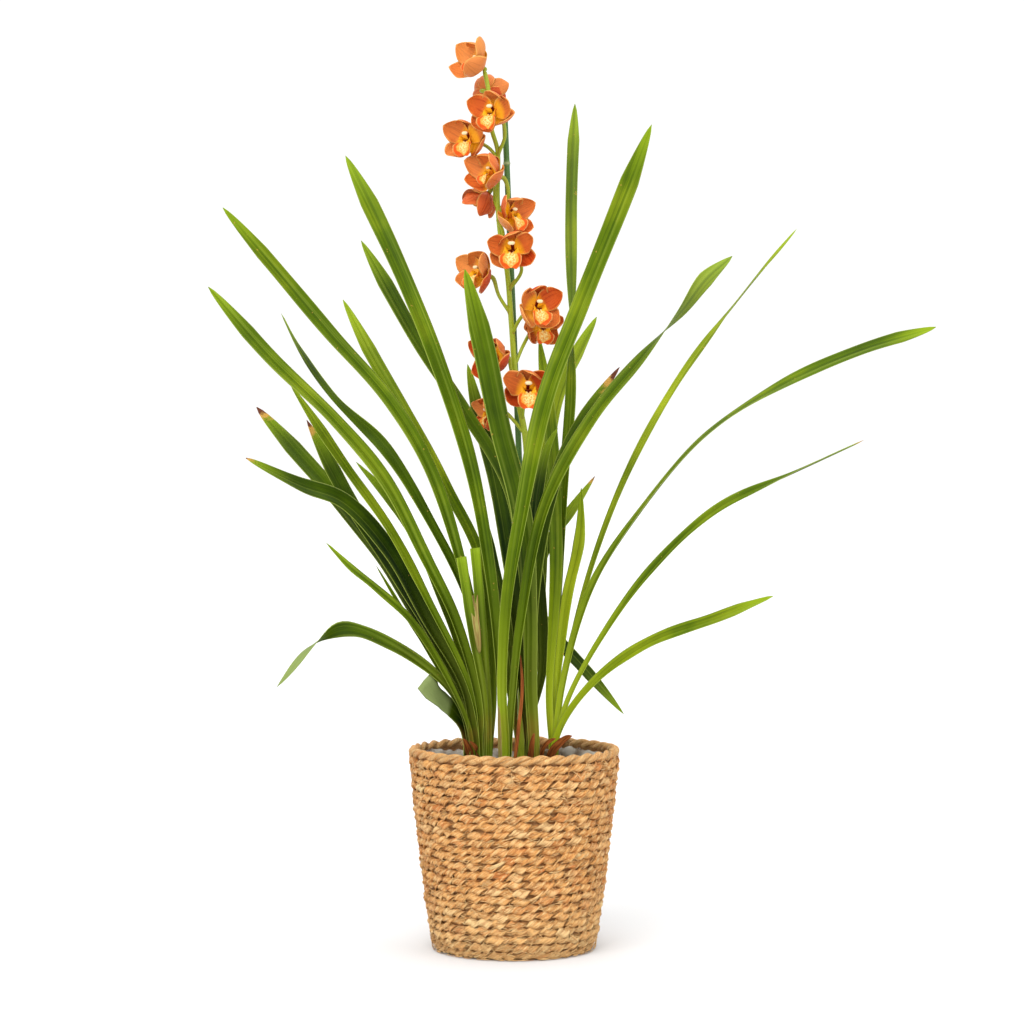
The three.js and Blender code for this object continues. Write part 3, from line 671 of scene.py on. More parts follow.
@dataclass(frozen=True)
class LeafFinish:
    """Leathery strap leaf: satin green with fine lengthwise veins."""

    deep: Colour = paint(24, 48, 0)
    green: Colour = paint(86, 112, 0)
    bright: Colour = paint(170, 184, 32)
    # edge: the colour of the painted highlights on the edges and in the lit bands.
    edge: Colour = paint(196, 212, 92)
    base: Colour = paint(182, 200, 38)
    tip: Colour = paint(150, 178, 28)
    pale: Colour = paint(142, 158, 96)
    tan: Colour = paint(206, 160, 76)
    brown: Colour = paint(108, 60, 40)
    husk: Colour = paint(158, 112, 48)

    def make(self) -> bpy.types.Material:
        """Green by leaf and by lengthwise band, with a paler back and ends of their own.

        The base turns yellow and in patches to husk, the tip yellow-green, and
        a dried tip goes from tan to brown with a ragged edge. Painted shade
        darkens it towards the base, painted highlight and shade lie in broad
        lengthwise bands, and a painted highlight runs along both edges.

        Returns:
            The material.
        """
        r = Recipe("strap leaf")
        across, tone, under = r.mark("across"), r.mark("tone"), r.mark("under")
        root, tip, half = r.mark("root"), r.mark("tip"), r.mark("half")
        clouds = r.noise(r.place(), 14.0, 3.0)
        veins = r.noise(r.vector(across * half * 0.8, root * 0.006, tone * 53), 1.0, 2.0, 0.55)
        # Painted shade: darker towards the base, less so on young leaves.
        shaded = root.between(400.0, 90.0) * (0.3 - r.mark("young") * 0.3)
        level = tone + (clouds - 0.5) * 0.9 + (veins - 0.5) * 0.45 - shaded
        green = r.ramp(level, (0.0, self.deep), (0.45, self.green), (1.0, self.bright))
        young = root.between(260.0, 20.0) * r.mark("young")
        based = r.mix(young, green, self.base)
        foot = root.between(75.0, 35.0) * clouds.between(0.46, 0.6) * 0.55
        tipped = r.mix(foot, r.mix(tip.between(75.0, 0.0) * 0.7, based, self.tip), self.husk)
        rib = across.absolute().between(0.09, 0.0)
        # hem: a painted highlight along both edges.
        hem = across.absolute().between(0.88, 0.98)
        # Painted shade and painted highlight in broad lengthwise bands, as on a glossy leaf.
        bands = r.noise(r.vector(across * half * 0.3, root * 0.0028, tone * 29), 1.0, 1.0)
        dimmed = r.mix(bands.between(0.46, 0.34) * 0.28, tipped, self.deep)
        lit = r.mix(bands.between(0.54, 0.7) * 0.13, dimmed, self.edge)
        ribbed = r.mix(hem * 0.65, r.mix(rib * 0.25, lit, self.deep), self.edge)
        lower = r.mix(under * r.mark("wan") + r.mark("flap"), ribbed, self.pale)
        ragged = tip + (r.noise(r.place(), 160.0, 3.0) - 0.5) * 26.0
        scorch = r.mark("scorch")
        dry = r.mix((ragged - scorch).between(9.0, 0.0), lower, self.tan)
        burnt = r.mix((ragged - scorch * 0.72).between(2.0, -4.0), dry, self.brown)
        speckle = r.noise(r.place(), 210.0, 1.0).between(0.76, 0.8) * 0.55
        colour = r.mix(speckle, burnt, self.tan)
        return r.finish(Base_Color=colour, Roughness=0.42 + 0.2 * clouds,
                        Normal=r.bump(veins, 0.14), Specular_IOR_Level=0.08)


@dataclass(frozen=True)
class DryFinish:
    """Papery dried sheath or bract."""

    name: str
    light: Colour
    dark: Colour

    def make(self) -> bpy.types.Material:
        """Streaks between two browns along the blade."""
        r = Recipe(self.name)
        streaks = r.noise(r.vector(r.mark("across") * 4.0, r.mark("root") * 0.05,
                                   r.mark("tone") * 31), 1.0, 4.0)
        colour = r.mix(streaks.between(0.3, 0.7), self.dark, self.light)
        return r.finish(Base_Color=colour, Roughness=0.7, Normal=r.bump(streaks, 0.5),
                        Specular_IOR_Level=0.2)


@dataclass(frozen=True)
class StalkFinish:
    """Fresh flower stalk, browner towards each bloom."""

    lime: Colour = paint(190, 200, 44)
    olive: Colour = paint(136, 160, 24)
    brown: Colour = paint(150, 92, 40)

    def make(self) -> bpy.types.Material:
        """Yellow-green with lengthwise streaks and brown near the blooms."""
        r = Recipe("flower stalk")
        streaks = r.noise(r.vector(r.mark("turn") * 2.0, r.mark("along") * 0.03, 0.0), 1.0, 3.0)
        green = r.mix(streaks, self.olive, self.lime)
        colour = r.mix(r.mark("flush") * (0.1 + 0.9 * streaks), green, self.brown)
        return r.finish(Base_Color=colour, Roughness=0.4, Normal=r.bump(streaks, 0.2),
                        Specular_IOR_Level=0.3)


@dataclass(frozen=True)
class CaneFinish:
    """Green stained bamboo cane with pale rings at its knots."""

    dark: Colour = paint(30, 72, 8)
    light: Colour = paint(88, 136, 34)
    knot: Colour = paint(168, 176, 120)

    def make(self) -> bpy.types.Material:
        """Dark green with fine grain, and a pale ring at each knot."""
        r = Recipe("stained cane")
        grain = r.noise(r.vector(r.mark("turn") * 6.0, r.mark("along") * 0.02, 3.0), 1.0, 4.0)
        green = r.mix(grain, self.dark, self.light)
        colour = r.mix(r.mark("knot"), green, self.knot)
        return r.finish(Base_Color=colour, Roughness=0.45, Normal=r.bump(grain, 0.3))


@dataclass(frozen=True)
class PetalFinish:
    """Waxy terracotta petal with a golden heart and pale margins."""

    inside: Colour = paint(230, 107, 40)
    outside: Colour = paint(224, 106, 52)
    blush: Colour = paint(188, 52, 14)
    heart: Colour = paint(255, 178, 0)
    margin: Colour = paint(253, 184, 98)
    vein: Colour = paint(168, 48, 12)
    # dark: black, which dims the painted glow.
    dark: Colour = paint(0, 0, 0)

    def make(self) -> bpy.types.Material:
        """Gold at the heart, terracotta beyond it, with veins, a light edge and a painted glow."""
        r = Recipe("waxy petal")
        along, across, under = r.mark("along"), r.mark("across"), r.mark("under")
        veins = r.noise(r.vector(across * 8.0, along * 1.1, r.mark("tone") * 47), 1.0, 3.0, 0.6)
        clouds = r.noise(r.place(), 60.0, 2.0)
        flush = r.mark("blush") + (clouds - 0.5) * 0.9
        face = r.mix(flush, r.mix(under, self.inside, self.outside), self.blush)
        veined = r.mix(veins.between(0.5, 0.62) * 0.6, face, self.vein)
        gold = (along + r.mark("blush") * 0.25).between(0.46, 0.2) * (1.0 - under)
        heart = r.mix(gold, veined, self.heart)
        lit = r.mix(r.mark("tone") * 0.58 - r.mark("blush") * 0.35, heart, self.margin)
        edge = across.absolute().between(0.8, 1.0) * 0.8 + along.between(0.93, 1.0) * 0.6
        colour = r.mix(edge, lit, self.margin)
        # Painted glow: an emission of a fifth of the colour, and of full gold at the heart, stands
        # in for light through the petal.
        return r.finish(Base_Color=colour, Roughness=0.5, Normal=r.bump(veins, 0.4),
                        Specular_IOR_Level=0.1, Emission_Strength=0.3,
                        Emission_Color=r.mix(gold, r.mix(0.8, colour, self.dark), self.heart))


@dataclass(frozen=True)
class LipFinish:
    """Cream lip, freckled orange, with a red-orange rim, a maroon throat deepened by painted
    shade, and a white cap.
    """

    cream: Colour = paint(254, 222, 142)
    freckle: Colour = paint(238, 150, 44)
    amber: Colour = paint(252, 168, 56)
    rim: Colour = paint(230, 92, 22)
    hem: Colour = paint(255, 192, 128)
    lobe: Colour = paint(255, 178, 24)
    stripe: Colour = paint(186, 60, 14)
    # throat_maroon_and_shade: maroon marking and painted shade.
    throat_maroon_and_shade: Colour = paint(122, 26, 8)
    cap: Colour = paint(255, 232, 184)
    column: Colour = paint(244, 150, 70)

    def make(self) -> bpy.types.Material:
        """Zones by share of the lip's length and width, then the column and its cap, with a faint
        painted glow.
        """
        r = Recipe("orchid lip")
        along, side = r.mark("along"), r.mark("across").absolute()
        fine = r.noise(r.place(), 600.0, 2.0)
        broad = r.noise(r.vector(r.mark("across") * 3.0, along * 4.0, 0.0), 1.0, 2.0)
        apron = r.mix(fine.between(0.47, 0.56) * 0.85, self.cream, self.freckle)
        ring = side + along.between(0.72, 1.0) * 0.62 + (broad - 0.5) * 0.3
        golden = r.mix(ring.between(0.34, 0.6) * 0.8, apron, self.amber)
        rimmed = r.mix(ring.between(0.64, 0.74), golden, self.rim)
        hemmed = r.mix(r.mark("hem"), rimmed, self.hem)
        wall = r.mix(fine.between(0.5, 0.62) * 0.45, self.lobe, self.stripe)
        sides = r.mix(along.between(0.5, 0.4) * side.between(0.2, 0.4), hemmed, wall)
        # The throat: maroon marking with painted shade under the column.
        deep = r.mix(along.between(0.4, 0.3) * side.between(0.62, 0.42), sides, self.throat_maroon_and_shade)
        back = r.mix(r.mark("under") * 0.85, deep, self.amber)
        column = r.mix(r.mark("column"), back, self.column)
        # The column's underside: maroon marking with painted shade.
        stained = r.mix(r.mark("stain"), column, self.throat_maroon_and_shade)
        colour = r.mix(r.mark("cap"), stained, self.cap)
        # A faint painted glow: the lip emits its own colour.
        return r.finish(Base_Color=colour, Roughness=0.45, Normal=r.bump(fine, 0.3),
                        Specular_IOR_Level=0.1, Emission_Color=colour, Emission_Strength=0.05)


@dataclass
class Basket:
    """Coiled seagrass basket: rows of two-ply cord stacked into a tapered wall.

    Attributes:
        barrel: How far the wall bulges past a straight cone.
        strand_pitch: The distance between strands along a row.
        ply_offset, ply_rise: How far a ply's middle swings out and up.
        strand_reach: How far a strand goes round the cord to each side, in degrees.
        fibre_pitch: The distance across a strand that the finish counts as 1.
        base_pitch: The distance between the coils of the base.
        rim_turns: How often a ply of the rim turns round the rope.
        loose: The blades of grass in front with places of their own, as place
            across and up, length, slant, half width and tone.
    """

    height: float = 222.0
    foot_radius: float = 90.0
    top_radius: float = 116.0
    barrel: float = 1.4
    wall: float = 9.0
    floor: float = 9.0
    rows: int = 24
    strand_pitch: float = 16.6
    ply_offset: float = 1.5
    ply_rise: float = 1.5
    strand_reach: float = 124.0
    fibre_pitch: float = 2.6
    base_pitch: float = 9.2
    fibre_count: int = 5400
    blade_count: int = 1700
    rim_radius: float = 5.4
    rim_turns: int = 18
    rim_ply_offset: float = 2.3
    rim_ply_radius: float = 3.0555
    loose: tuple[tuple[float, ...], ...] = (
        (-27.0, 100.0, 20.0, 0.42, 2.3, 1.0), (40.0, 131.0, 17.0, 0.3, 1.7, 0.95),
        (62.0, 113.0, 18.0, 0.1, 1.9, 1.0), (-62.0, 92.0, 15.0, 0.2, 1.4, 0.9),
        (16.0, 66.0, 16.0, 0.1, 1.5, 0.9), (-44.0, 150.0, 14.0, 0.5, 1.3, 0.85),
        (84.0, 160.0, 13.0, 0.25, 1.2, 0.9), (22.0, 96.0, 12.0, 0.3, 2.0, 0.0),
        (58.0, 100.0, 11.0, 0.2, 1.8, 0.05))
    seed: int = 11

    @property
    def pitch(self) -> float:
        """Height of one row of cord."""
        return (self.height - 2 * self.rim_radius) / self.rows

    def radius(self, height: Array | float) -> Array:
        """Outer radius: straight from foot to top, with a slight barrel between."""
        at = np.asarray(height) / self.height
        return blend(self.foot_radius, self.top_radius, at) + self.barrel * np.sin(np.pi * at)

    def sway(self, angle: Array, height: Array) -> Array:
        """How far a row wanders up or down: slow waves, and one slack spot in front."""
        waves = 0.9 * np.sin(3 * angle + height * 0.035) \
            + 0.6 * np.sin(7 * angle - height * 0.05)
        fade = np.clip(np.minimum(height - 6, 204 - height) / 20, 0, 1)
        slack = -2.6 * bell((angle + math.radians(80)) / 0.16) * bell((height - 136) / 10)
        return waves * fade + slack

    def strands(self) -> Patch:
        """Every visible half-turn of a ply, as a body of its own.

        A ply's middle runs round the cord's axis as the angle phi goes from
        behind, below, over the front and back in above: it is moved out by
        offset cos(phi) and up by rise sin(phi), and along the row by the pitch
        of the strands times phi / pi. Round it lies a squared ellipse whose
        flat side looks away from the cord's axis, with a few ridges along the
        strand. The two lowest rows are drawn in, and a few bold strands are
        wider and paler.

        Returns:
            One patch with marks along, across, tone and tuck, the painted shade at its ends.
        """
        rng = np.random.default_rng(self.seed)
        rows = np.arange(self.rows)
        count = np.round(math.tau * self.radius((rows + 0.5) * self.pitch)
                         / self.strand_pitch).astype(int)
        row = np.repeat(rows, count)
        number = np.concatenate([np.arange(n) for n in count])
        total, per_row = len(row), count[row]
        start = rng.uniform(0, 1, self.rows)[row]
        angle0 = (number + start + rng.normal(0, 0.16, total)) / per_row * math.tau
        wide = rng.uniform(4.6, 6.1, total)
        deep = rng.uniform(1.5, 2.3, total)
        lift = rng.normal(0, 0.45, total)
        rise = self.ply_rise * rng.uniform(0.3, 1.6, total)
        reach = math.radians(self.strand_reach) * rng.uniform(0.8, 1.2, total)
        bold = rng.uniform(0, 1, total) > 0.97
        wide = np.where(bold, wide * 1.15, wide)
        lift = np.where(bold, 0.6, lift)
        share = np.linspace(-1, 1, 8)
        phi = reach[:, None] * share
        angle = angle0[:, None] + phi / math.pi / per_row[:, None] * math.tau
        middle = (row[:, None] + 0.5) * self.pitch + rng.normal(0, 0.6, total)[:, None]
        height = middle + self.sway(angle, middle) + rise[:, None] * np.sin(phi)
        drawn_in = np.where(row == 0, 4.2, np.where(row == 1, 1.1, 0))[:, None]
        out = self.radius(height) - self.ply_offset - 2.2 - drawn_in + lift[:, None] \
            + self.ply_offset * np.cos(phi)
        centre = round_axis(out, angle, height)
        heading = unit(np.gradient(centre, axis=1))
        face = square_to(heading, np.cos(phi)[..., None] * round_axis(1.0, angle, 0.0)
                         + np.sin(phi)[..., None] * UP)
        psi = full_turn(12)
        flat = 1 + 0.13 * (1 - np.cos(4 * psi)) / 2
        taper = np.cos(share * 1.25) ** 0.8
        phase = rng.uniform(0, math.tau, (total, 1, 1))
        ridge = 1 + 0.12 * np.cos(3 * psi + phase) + 0.1 * np.cos(6 * psi - 2 * phase)
        girth = taper[:, None] * ridge * flat
        rings = sections(centre, face, np.cross(heading, face),
                         girth * deep[:, None, None] * np.cos(psi),
                         girth * wide[:, None, None] * np.sin(psi))
        rings[..., 2] = np.maximum(rings[..., 2], 0.05)
        tone = np.clip(rng.beta(2.3, 2.1, total) * 0.94 + np.where(bold, 0.25, 0), 0, 1)
        marks = {
            "along": (share * 9)[:, None] + phase * 7,
            "across": np.sin(psi) * wide[:, None, None] / self.fibre_pitch,
            "tone": tone[:, None, None],
            # tuck: painted shade at the strand's ends, where they tuck under.
            "tuck": np.clip((np.abs(share) - 0.76) * 1.4, 0, 0.34)[:, None],
        }
        return skin_many(rings, marks)

    def fibres(self) -> Patch:
        """Thin fibres along the strands and close to the wall, more of them low down."""
        rng = np.random.default_rng(self.seed + 2)
        total = self.fibre_count
        angle = rng.uniform(0, math.tau, total)
        row = np.floor(self.rows * rng.uniform(0, 1, total) ** 1.35)
        height = (row + 0.5 + rng.normal(0, 0.3, total)) * self.pitch
        height = height + self.sway(angle, height)
        slant = rng.normal(0.24, 0.2, total)
        return self.grass(rng, angle, height, rng.uniform(5, 13, total), slant,
                          rng.uniform(-0.5, 0.2, total), rng.uniform(0.2, 0.55, total),
                          rng.uniform(0.0, 1.0, total), 4)

    def loose_blades(self) -> Patch:
        """Loose blades of grass that lie across the wall, more of them near its top.

        Those in front that stand in the table have places of their own.

        Returns:
            One patch with the same marks as the strands.
        """
        rng = np.random.default_rng(self.seed + 1)
        total = self.blade_count
        top = self.height - 13
        angle = rng.uniform(0, math.tau, total)
        height = rng.uniform(6, top, total)
        high = rng.uniform(0, 1, total) < 0.25
        height = np.where(high, top - 40 * rng.uniform(0, 1, total) ** 2, height)
        length = rng.uniform(4, 15, total)
        slant = rng.normal(0.3, 0.6, total) + np.where(high, rng.normal(0, 0.6, total), 0)
        stand = rng.uniform(0.0, 0.9, total) + 1.6 * (rng.uniform(0, 1, total) > 0.9)
        wide = rng.uniform(0.16, 0.62, total)
        tone = rng.uniform(0.35, 1, total)
        own = len(self.loose)
        across, height[:own], length[:own], slant[:own], wide[:own], tone[:own] = \
            np.array(self.loose).T
        angle[:own] = np.arcsin(across / self.radius(height[:own])) - math.pi / 2
        stand[:own] = 0.5
        return self.grass(rng, angle, height, length, slant, stand, wide, tone, 6)

    def grass(self, rng: np.random.Generator, angle0: Array, height0: Array, length: Array,
              slant: Array, stand: Array, wide0: Array, tone: Array, sides: int) -> Patch:
        """Thin blades on the wall.

        Each leaves the wall at one end: out by its stand times u^2, with a slow
        bend along the wall.

        Args:
            rng: The source of the bends.
            angle0: Where each begins round the wall.
            height0: How high each begins.
            length: Their lengths.
            slant: How steeply each rises, in radians.
            stand: How far the free end stands out.
            wide0: Half of each one's width.
            tone: Their tones.
            sides: Corners of the section, and spans along the blade.

        Returns:
            One patch with the strands' marks.
        """
        share = np.linspace(0, 1, sides + 1)
        run = length[:, None] * share
        bend = rng.normal(0, 0.02, len(angle0))[:, None] * run**2
        angle = angle0[:, None] + run * np.cos(slant)[:, None] / self.radius(height0)[:, None]
        height = np.clip(height0[:, None] + run * np.sin(slant)[:, None] + bend, 1,
                         self.height - 8)
        out = self.radius(height) - 0.1 + stand[:, None] * share**2
        centre = round_axis(out, angle, height)
        face = round_axis(1.0, angle, 0.0)
        beside = unit(np.cross(unit(np.gradient(centre, axis=1)), face))
        psi = full_turn(sides)
        wide = (wide0[:, None] * np.maximum(1 - (2 * share - 1) ** 4, 0.12))[..., None]
        rings = sections(centre, face, beside, 0.26 * np.cos(psi), wide * np.sin(psi))
        marks = {
            "along": run[..., None],
            "across": np.sin(psi) * wide0[:, None, None] * 0.5,
            "tone": tone[:, None, None],
            "tuck": 0.0,
        }
        return skin_many(rings, marks)

    def core(self) -> Patch:
        """The wall behind the strands, the inner face and the coiled base.

        The section runs from the middle of the underside out to the foot, up
        the outside behind the strands, over the top, down the inside and back
        along the floor. The inner face swells by |sin| of its height over the
        cord's pitch, with slanted ridges; underside and floor have a groove
        between each two coils.

        Returns:
            A looped patch with the strands' marks.
        """
        top = self.height - self.rim_radius
        base = np.linspace(0.4, self.foot_radius - 6, 46)
        outer = np.linspace(4, top, 150)
        inner = np.linspace(top, self.floor, 110)
        cord = 1 - np.abs(np.sin(math.pi * outer / self.pitch))
        behind = 3.2 + 1.2 * cord**2 + 2.0 * ease(18, 4, outer)
        radius = np.concatenate([base, self.radius(outer) - behind,
                                 self.radius(inner) - self.wall + 0.6, base[::-1]])
        height = np.concatenate([0 * base + 0.1, outer, inner, 0 * base + self.floor])
        zone = np.repeat(range(4), [len(base), len(outer), len(inner), len(base)])
        underside, hidden, inside, floor = (zone == number for number in range(4))
        angle = full_turn(240)[:, None]
        bulge = np.abs(np.sin(math.pi * height / self.pitch))
        slant = 0.5 + 0.5 * np.sin(52 * angle + math.pi * height / self.pitch)
        out = radius - inside * (1.5 * bulge**0.6 * (0.6 + 0.4 * slant) - 0.9)
        groove = 1 - np.abs(np.sin(math.pi * radius / self.base_pitch))
        marks = {
            "along": angle * 110,
            "across": height / self.fibre_pitch,
            "tone": 0.35 + 0.4 * slant,
            # tuck: painted shade behind the strands, darkest at the row boundaries, and over the
            # inside, underside and floor.
            "tuck": np.where(hidden, 0.78 - 0.66 * bulge**2, 0.62 - 0.3 * bulge * slant),
        }
        rise = height + groove * np.where(underside, 1.0, -0.6 * floor)
        return skin(round_axis(out, angle, rise), marks, looped=True)

    def rim(self) -> list[Patch]:
        """The two plies of the rim's rope.

        Each ply's middle turns round the rope's axis on its way round the
        basket; its section is a circle with lengthwise ridges.

        Returns:
            Two looped patches with the strands' marks.
        """
        axis_height = self.height - self.rim_radius
        axis_radius = float(self.radius(axis_height)) - self.rim_radius + 0.4
        around = full_turn(660)
        radial = round_axis(1.0, around, 0.0)
        psi = full_turn(16)
        inner = 0.5 - 0.5 * np.cos(psi)
        plies = []
        for ply in range(2):
            phi = self.rim_turns * around + math.pi * ply
            face = np.cos(phi)[:, None] * radial + np.sin(phi)[:, None] * UP
            wander = 0.25 * np.sin(9 * around + ply)[:, None] * UP
            centre = radial * axis_radius + UP * axis_height + self.rim_ply_offset * face + wander
            heading = unit(np.roll(centre, -1, axis=0) - np.roll(centre, 1, axis=0))
            face = square_to(heading, face)
            swell = 1 + 0.05 * np.sin(23 * around + 2 * ply) + 0.03 * np.sin(41 * around)
            lobes = 7 * psi + 26 * around[:, None] + ply
            ridge = 1 + 0.07 * np.abs(np.cos(lobes / 2)) + 0.03 * np.cos(3 * psi)
            girth = self.rim_ply_radius * swell[:, None] * ridge
            rings = sections(centre, face, np.cross(heading, face), girth * np.cos(psi),
                             girth * np.sin(psi))
            marks = {
                "along": around[:, None] * 112,
                "across": psi / 1.6 + 5.9 * around[:, None],
                "tone": 0.68 + 0.22 * np.sin(lobes / 2) * np.sin(5 * around)[:, None],
                # tuck: painted shade on the side of each ply that presses on the other.
                "tuck": 0.6 * inner**4,
            }
            plies.append(skin(rings, marks, looped=True))
        return plies

    def build(self) -> None:
        """Makes the basket's wall and rim."""
        wall = SeagrassFinish("seagrass").make()
        Piece("basket_strands").add(self.strands()).build(wall, "seagrass", "basket")
        Piece("basket_core").add(self.core()).build(wall, "seagrass")
        Piece("loose_grass").add(self.loose_blades()).build(wall, "seagrass")
        Piece("surface_fibres").add(self.fibres()).build(wall, "seagrass")
        rope = SeagrassFinish("seagrass rope", fibres_across=2.8).make()
        Piece("rim_rope").add(*self.rim()).build(rope, "seagrass_rim", "basket_rim")


@dataclass
class PotFilling:
    """The film liner, the nursery pot and the bark in it."""

    basket: Basket
    pot_top: float = 198.0
    pot_floor: float = 10.95
    pot_top_radius: float = 93.0
    pot_foot_radius: float = 71.0
    pot_wall: float = 2.0
    pot_lip: float = 3.0
    liner_top: float = 209.0
    liner_floor: float = 9.35
    liner_thickness: float = 0.3
    bark_top: float = 188.0
    bark_foot: float = 150.0
    bark_relief: float = 4.0
    chip_count: int = 420
    chip_clearance: float = 15.0
    feet: Sequence[tuple[float, float]] = ()
    seed: int = 23

    def pot_radius(self, height: Array) -> Array:
        """Outer radius of the pot, straight from its foot to its top."""
        at = (height - self.basket.floor) / (self.pot_top - self.basket.floor)
        return blend(self.pot_foot_radius, self.pot_top_radius, at)

    def liner(self) -> Patch:
        """A crumpled sheet between basket and pot.

        The sheet stands half way between the two walls. Towards its free edge
        it is pushed in and out by waves of the angle and by sharp creases,
        which are the absolute values of slanted sines.

        Returns:
            The closed sheet.
        """
        angle = full_turn(360)
        at = np.linspace(0, 1, 40)[:, None]
        edge = self.liner_top + 3 * np.sin(3 * angle) + 2 * np.sin(7 * angle + 1) \
            + 1.2 * np.abs(np.sin(19 * angle)) + 0.6 * np.sin(43 * angle)
        height = blend(self.liner_floor, edge, at)
        middle = (self.basket.radius(height) - self.basket.wall + self.pot_radius(height)
                  + self.pot_lip) / 2
        waves = 1.4 * np.sin(11 * angle + 3 * at) + 0.9 * np.sin(5 * angle - 2 * at)
        creases = 0.9 * np.abs(np.sin(9 * angle + 7 * at)) - 1.0 * np.abs(
            np.sin(14 * angle - 11 * at + 2)) + 0.3 * np.abs(np.sin(31 * angle + 19 * at))
        out = middle + at**2 * (waves + creases)
        thin = self.liner_thickness
        outer = round_axis(out, angle, height)
        inner = round_axis(out - thin, angle, np.maximum(height, self.liner_floor + thin))
        to_axis = np.array([0.004, 0.004, 1.0])
        return skin(np.concatenate([outer[:1] * to_axis, outer, inner[::-1],
                                    inner[:1] * to_axis]))

    def pot(self) -> Patch:
        """The pot, turned round its axis from a section with a rolled lip."""
        lip = self.pot_top_radius + self.pot_lip
        wall, top, floor = self.pot_wall, self.pot_top, self.pot_floor
        foot, mouth = self.pot_foot_radius, self.pot_top_radius
        section = np.array([
            [0.3, floor], [foot - 3, floor], [foot, floor + 3], [mouth, top - 14.5],
            [mouth + 0.6, top - 14], [lip - 0.6, top - 13.4], [lip, top - 12.6],
            [lip, top - 1.2], [lip - 0.5, top - 0.3], [lip - 1.4, top],
            [mouth - wall + 0.6, top], [mouth - wall, top - 0.6],
            [mouth - wall, top - 14], [foot - wall, floor + wall + 1],
            [foot - wall - 1, floor + wall], [0.3, floor + wall]])
        return skin(round_axis(section[:, :1], full_turn(128), section[:, 1:]))

    def bark(self) -> Patch:
        """The fill, whose surface rises and falls with sines of the radius and the angle."""
        angle = full_turn(180)
        out = np.linspace(0.5, self.pot_top_radius - self.pot_wall - 0.8, 60)[:, None]
        relief = self.bark_relief * np.sin(out * 0.31 + 5 * angle) \
            * np.cos(out * 0.17 - 9 * angle)
        rough = 1.2 * np.sin(out * 1.3 + 23 * angle) * np.sin(out * 0.9 - 31 * angle)
        top = round_axis(out, angle, self.bark_top + relief + rough - 2)
        foot = round_axis(out[-1:], angle, self.bark_foot)
        close = foot * np.array([0.01, 0.01, 1.0])
        return skin(np.concatenate([close, foot, top[::-1]]), {"tone": 0.2})

    def chips(self) -> Patch:
        """Loose chips on the fill, clear of the shoots' feet.

        A chip is a flattened block with rounded, uneven corners.

        Returns:
            The chips, with a mark tone.
        """
        rng = np.random.default_rng(self.seed)
        total = self.chip_count
        where = np.sqrt(rng.uniform(0, 1, total)) * (self.pot_top_radius - 11)
        bearing = rng.uniform(0, math.tau, total)
        middle = np.stack([where * np.cos(bearing), where * np.sin(bearing)], axis=-1)
        if self.feet:
            gap = np.linalg.norm(middle[:, None] - np.array(self.feet), axis=-1).min(axis=1)
            middle = middle[gap > self.chip_clearance]
        count = (len(middle), 1, 1)
        length, width, depth = (rng.uniform(low, high, count)
                                for low, high in ((4, 10), (3, 5.5), (1.2, 2.6)))
        turn, tilt = rng.uniform(0, math.tau, count), rng.normal(0, 0.35, count)
        share = np.linspace(-1, 1, 5)[:, None]
        psi = full_turn(8)
        square = np.maximum(np.abs(np.cos(psi)), np.abs(np.sin(psi))) ** -0.7
        taper = np.sqrt(1 - (0.92 * share) ** 4)
        girth = taper * square * rng.uniform(0.72, 1.12, (len(middle), 5, 8))
        x = length * share + 0 * girth
        y = width * np.cos(psi) * girth
        z = depth * np.sin(psi) * girth + x * np.sin(tilt)
        height = self.bark_top + 2.5 + rng.uniform(-2, 2.5, count)
        corners = np.stack([middle[:, 0, None, None] + x * np.cos(turn) - y * np.sin(turn),
                            middle[:, 1, None, None] + x * np.sin(turn) + y * np.cos(turn),
                            height + z], axis=-1)
        return skin_many(corners, {"tone": rng.uniform(0, 1, count)})

    def build(self) -> None:
        """Makes liner, pot and bark."""
        Piece("film_liner").add(self.liner()).build(FilmFinish().make(), "liner_film", "liner")
        Piece("plant_pot").add(self.pot()).build(PotFinish().make(), "pot_plastic", "nursery_pot")
        Piece("bark_fill").add(self.bark(), self.chips()).build(
            BarkFinish().make(), "bark_chips", "bark")


class Tip(Enum):
    """How many millimetres of a leaf's tip have dried; below 0, none at all."""

    FRESH = -12.0
    TOUCHED = 5.0
    DRY = 14.0
    SCORCHED = 24.0


@dataclass(frozen=True)
class Leaf:
    """One strap leaf: its route as (across, up, depth) from base to tip, and its look.

    Attributes:
        tone: How light its green is, from 0 to 1.
        young: How yellow its base is, from 0 to 1.
        turn: The share of its length where it turns its back, if it does.
        blunt: Whether it ends in a cut.
        taper: The length of its point.
        rolls: Turns round its middle line, as (first share, last share, degrees).
        wan: How pale its back is, from 0 to 1.
        folded: Its fold, as a share of the usual one.
        flap: The share of its length past which both faces are pale.
    """

    route: tuple[Point, ...]
    width: float
    tone: float = 0.45
    young: float = 0.29
    turn: float | None = None
    blunt: bool = False
    tip: Tip = Tip.FRESH
    taper: float = 66.0
    rolls: tuple[tuple[float, float, float], ...] = ()
    wan: float = 0.2
    folded: float = 1.0
    flap: float = 2.0


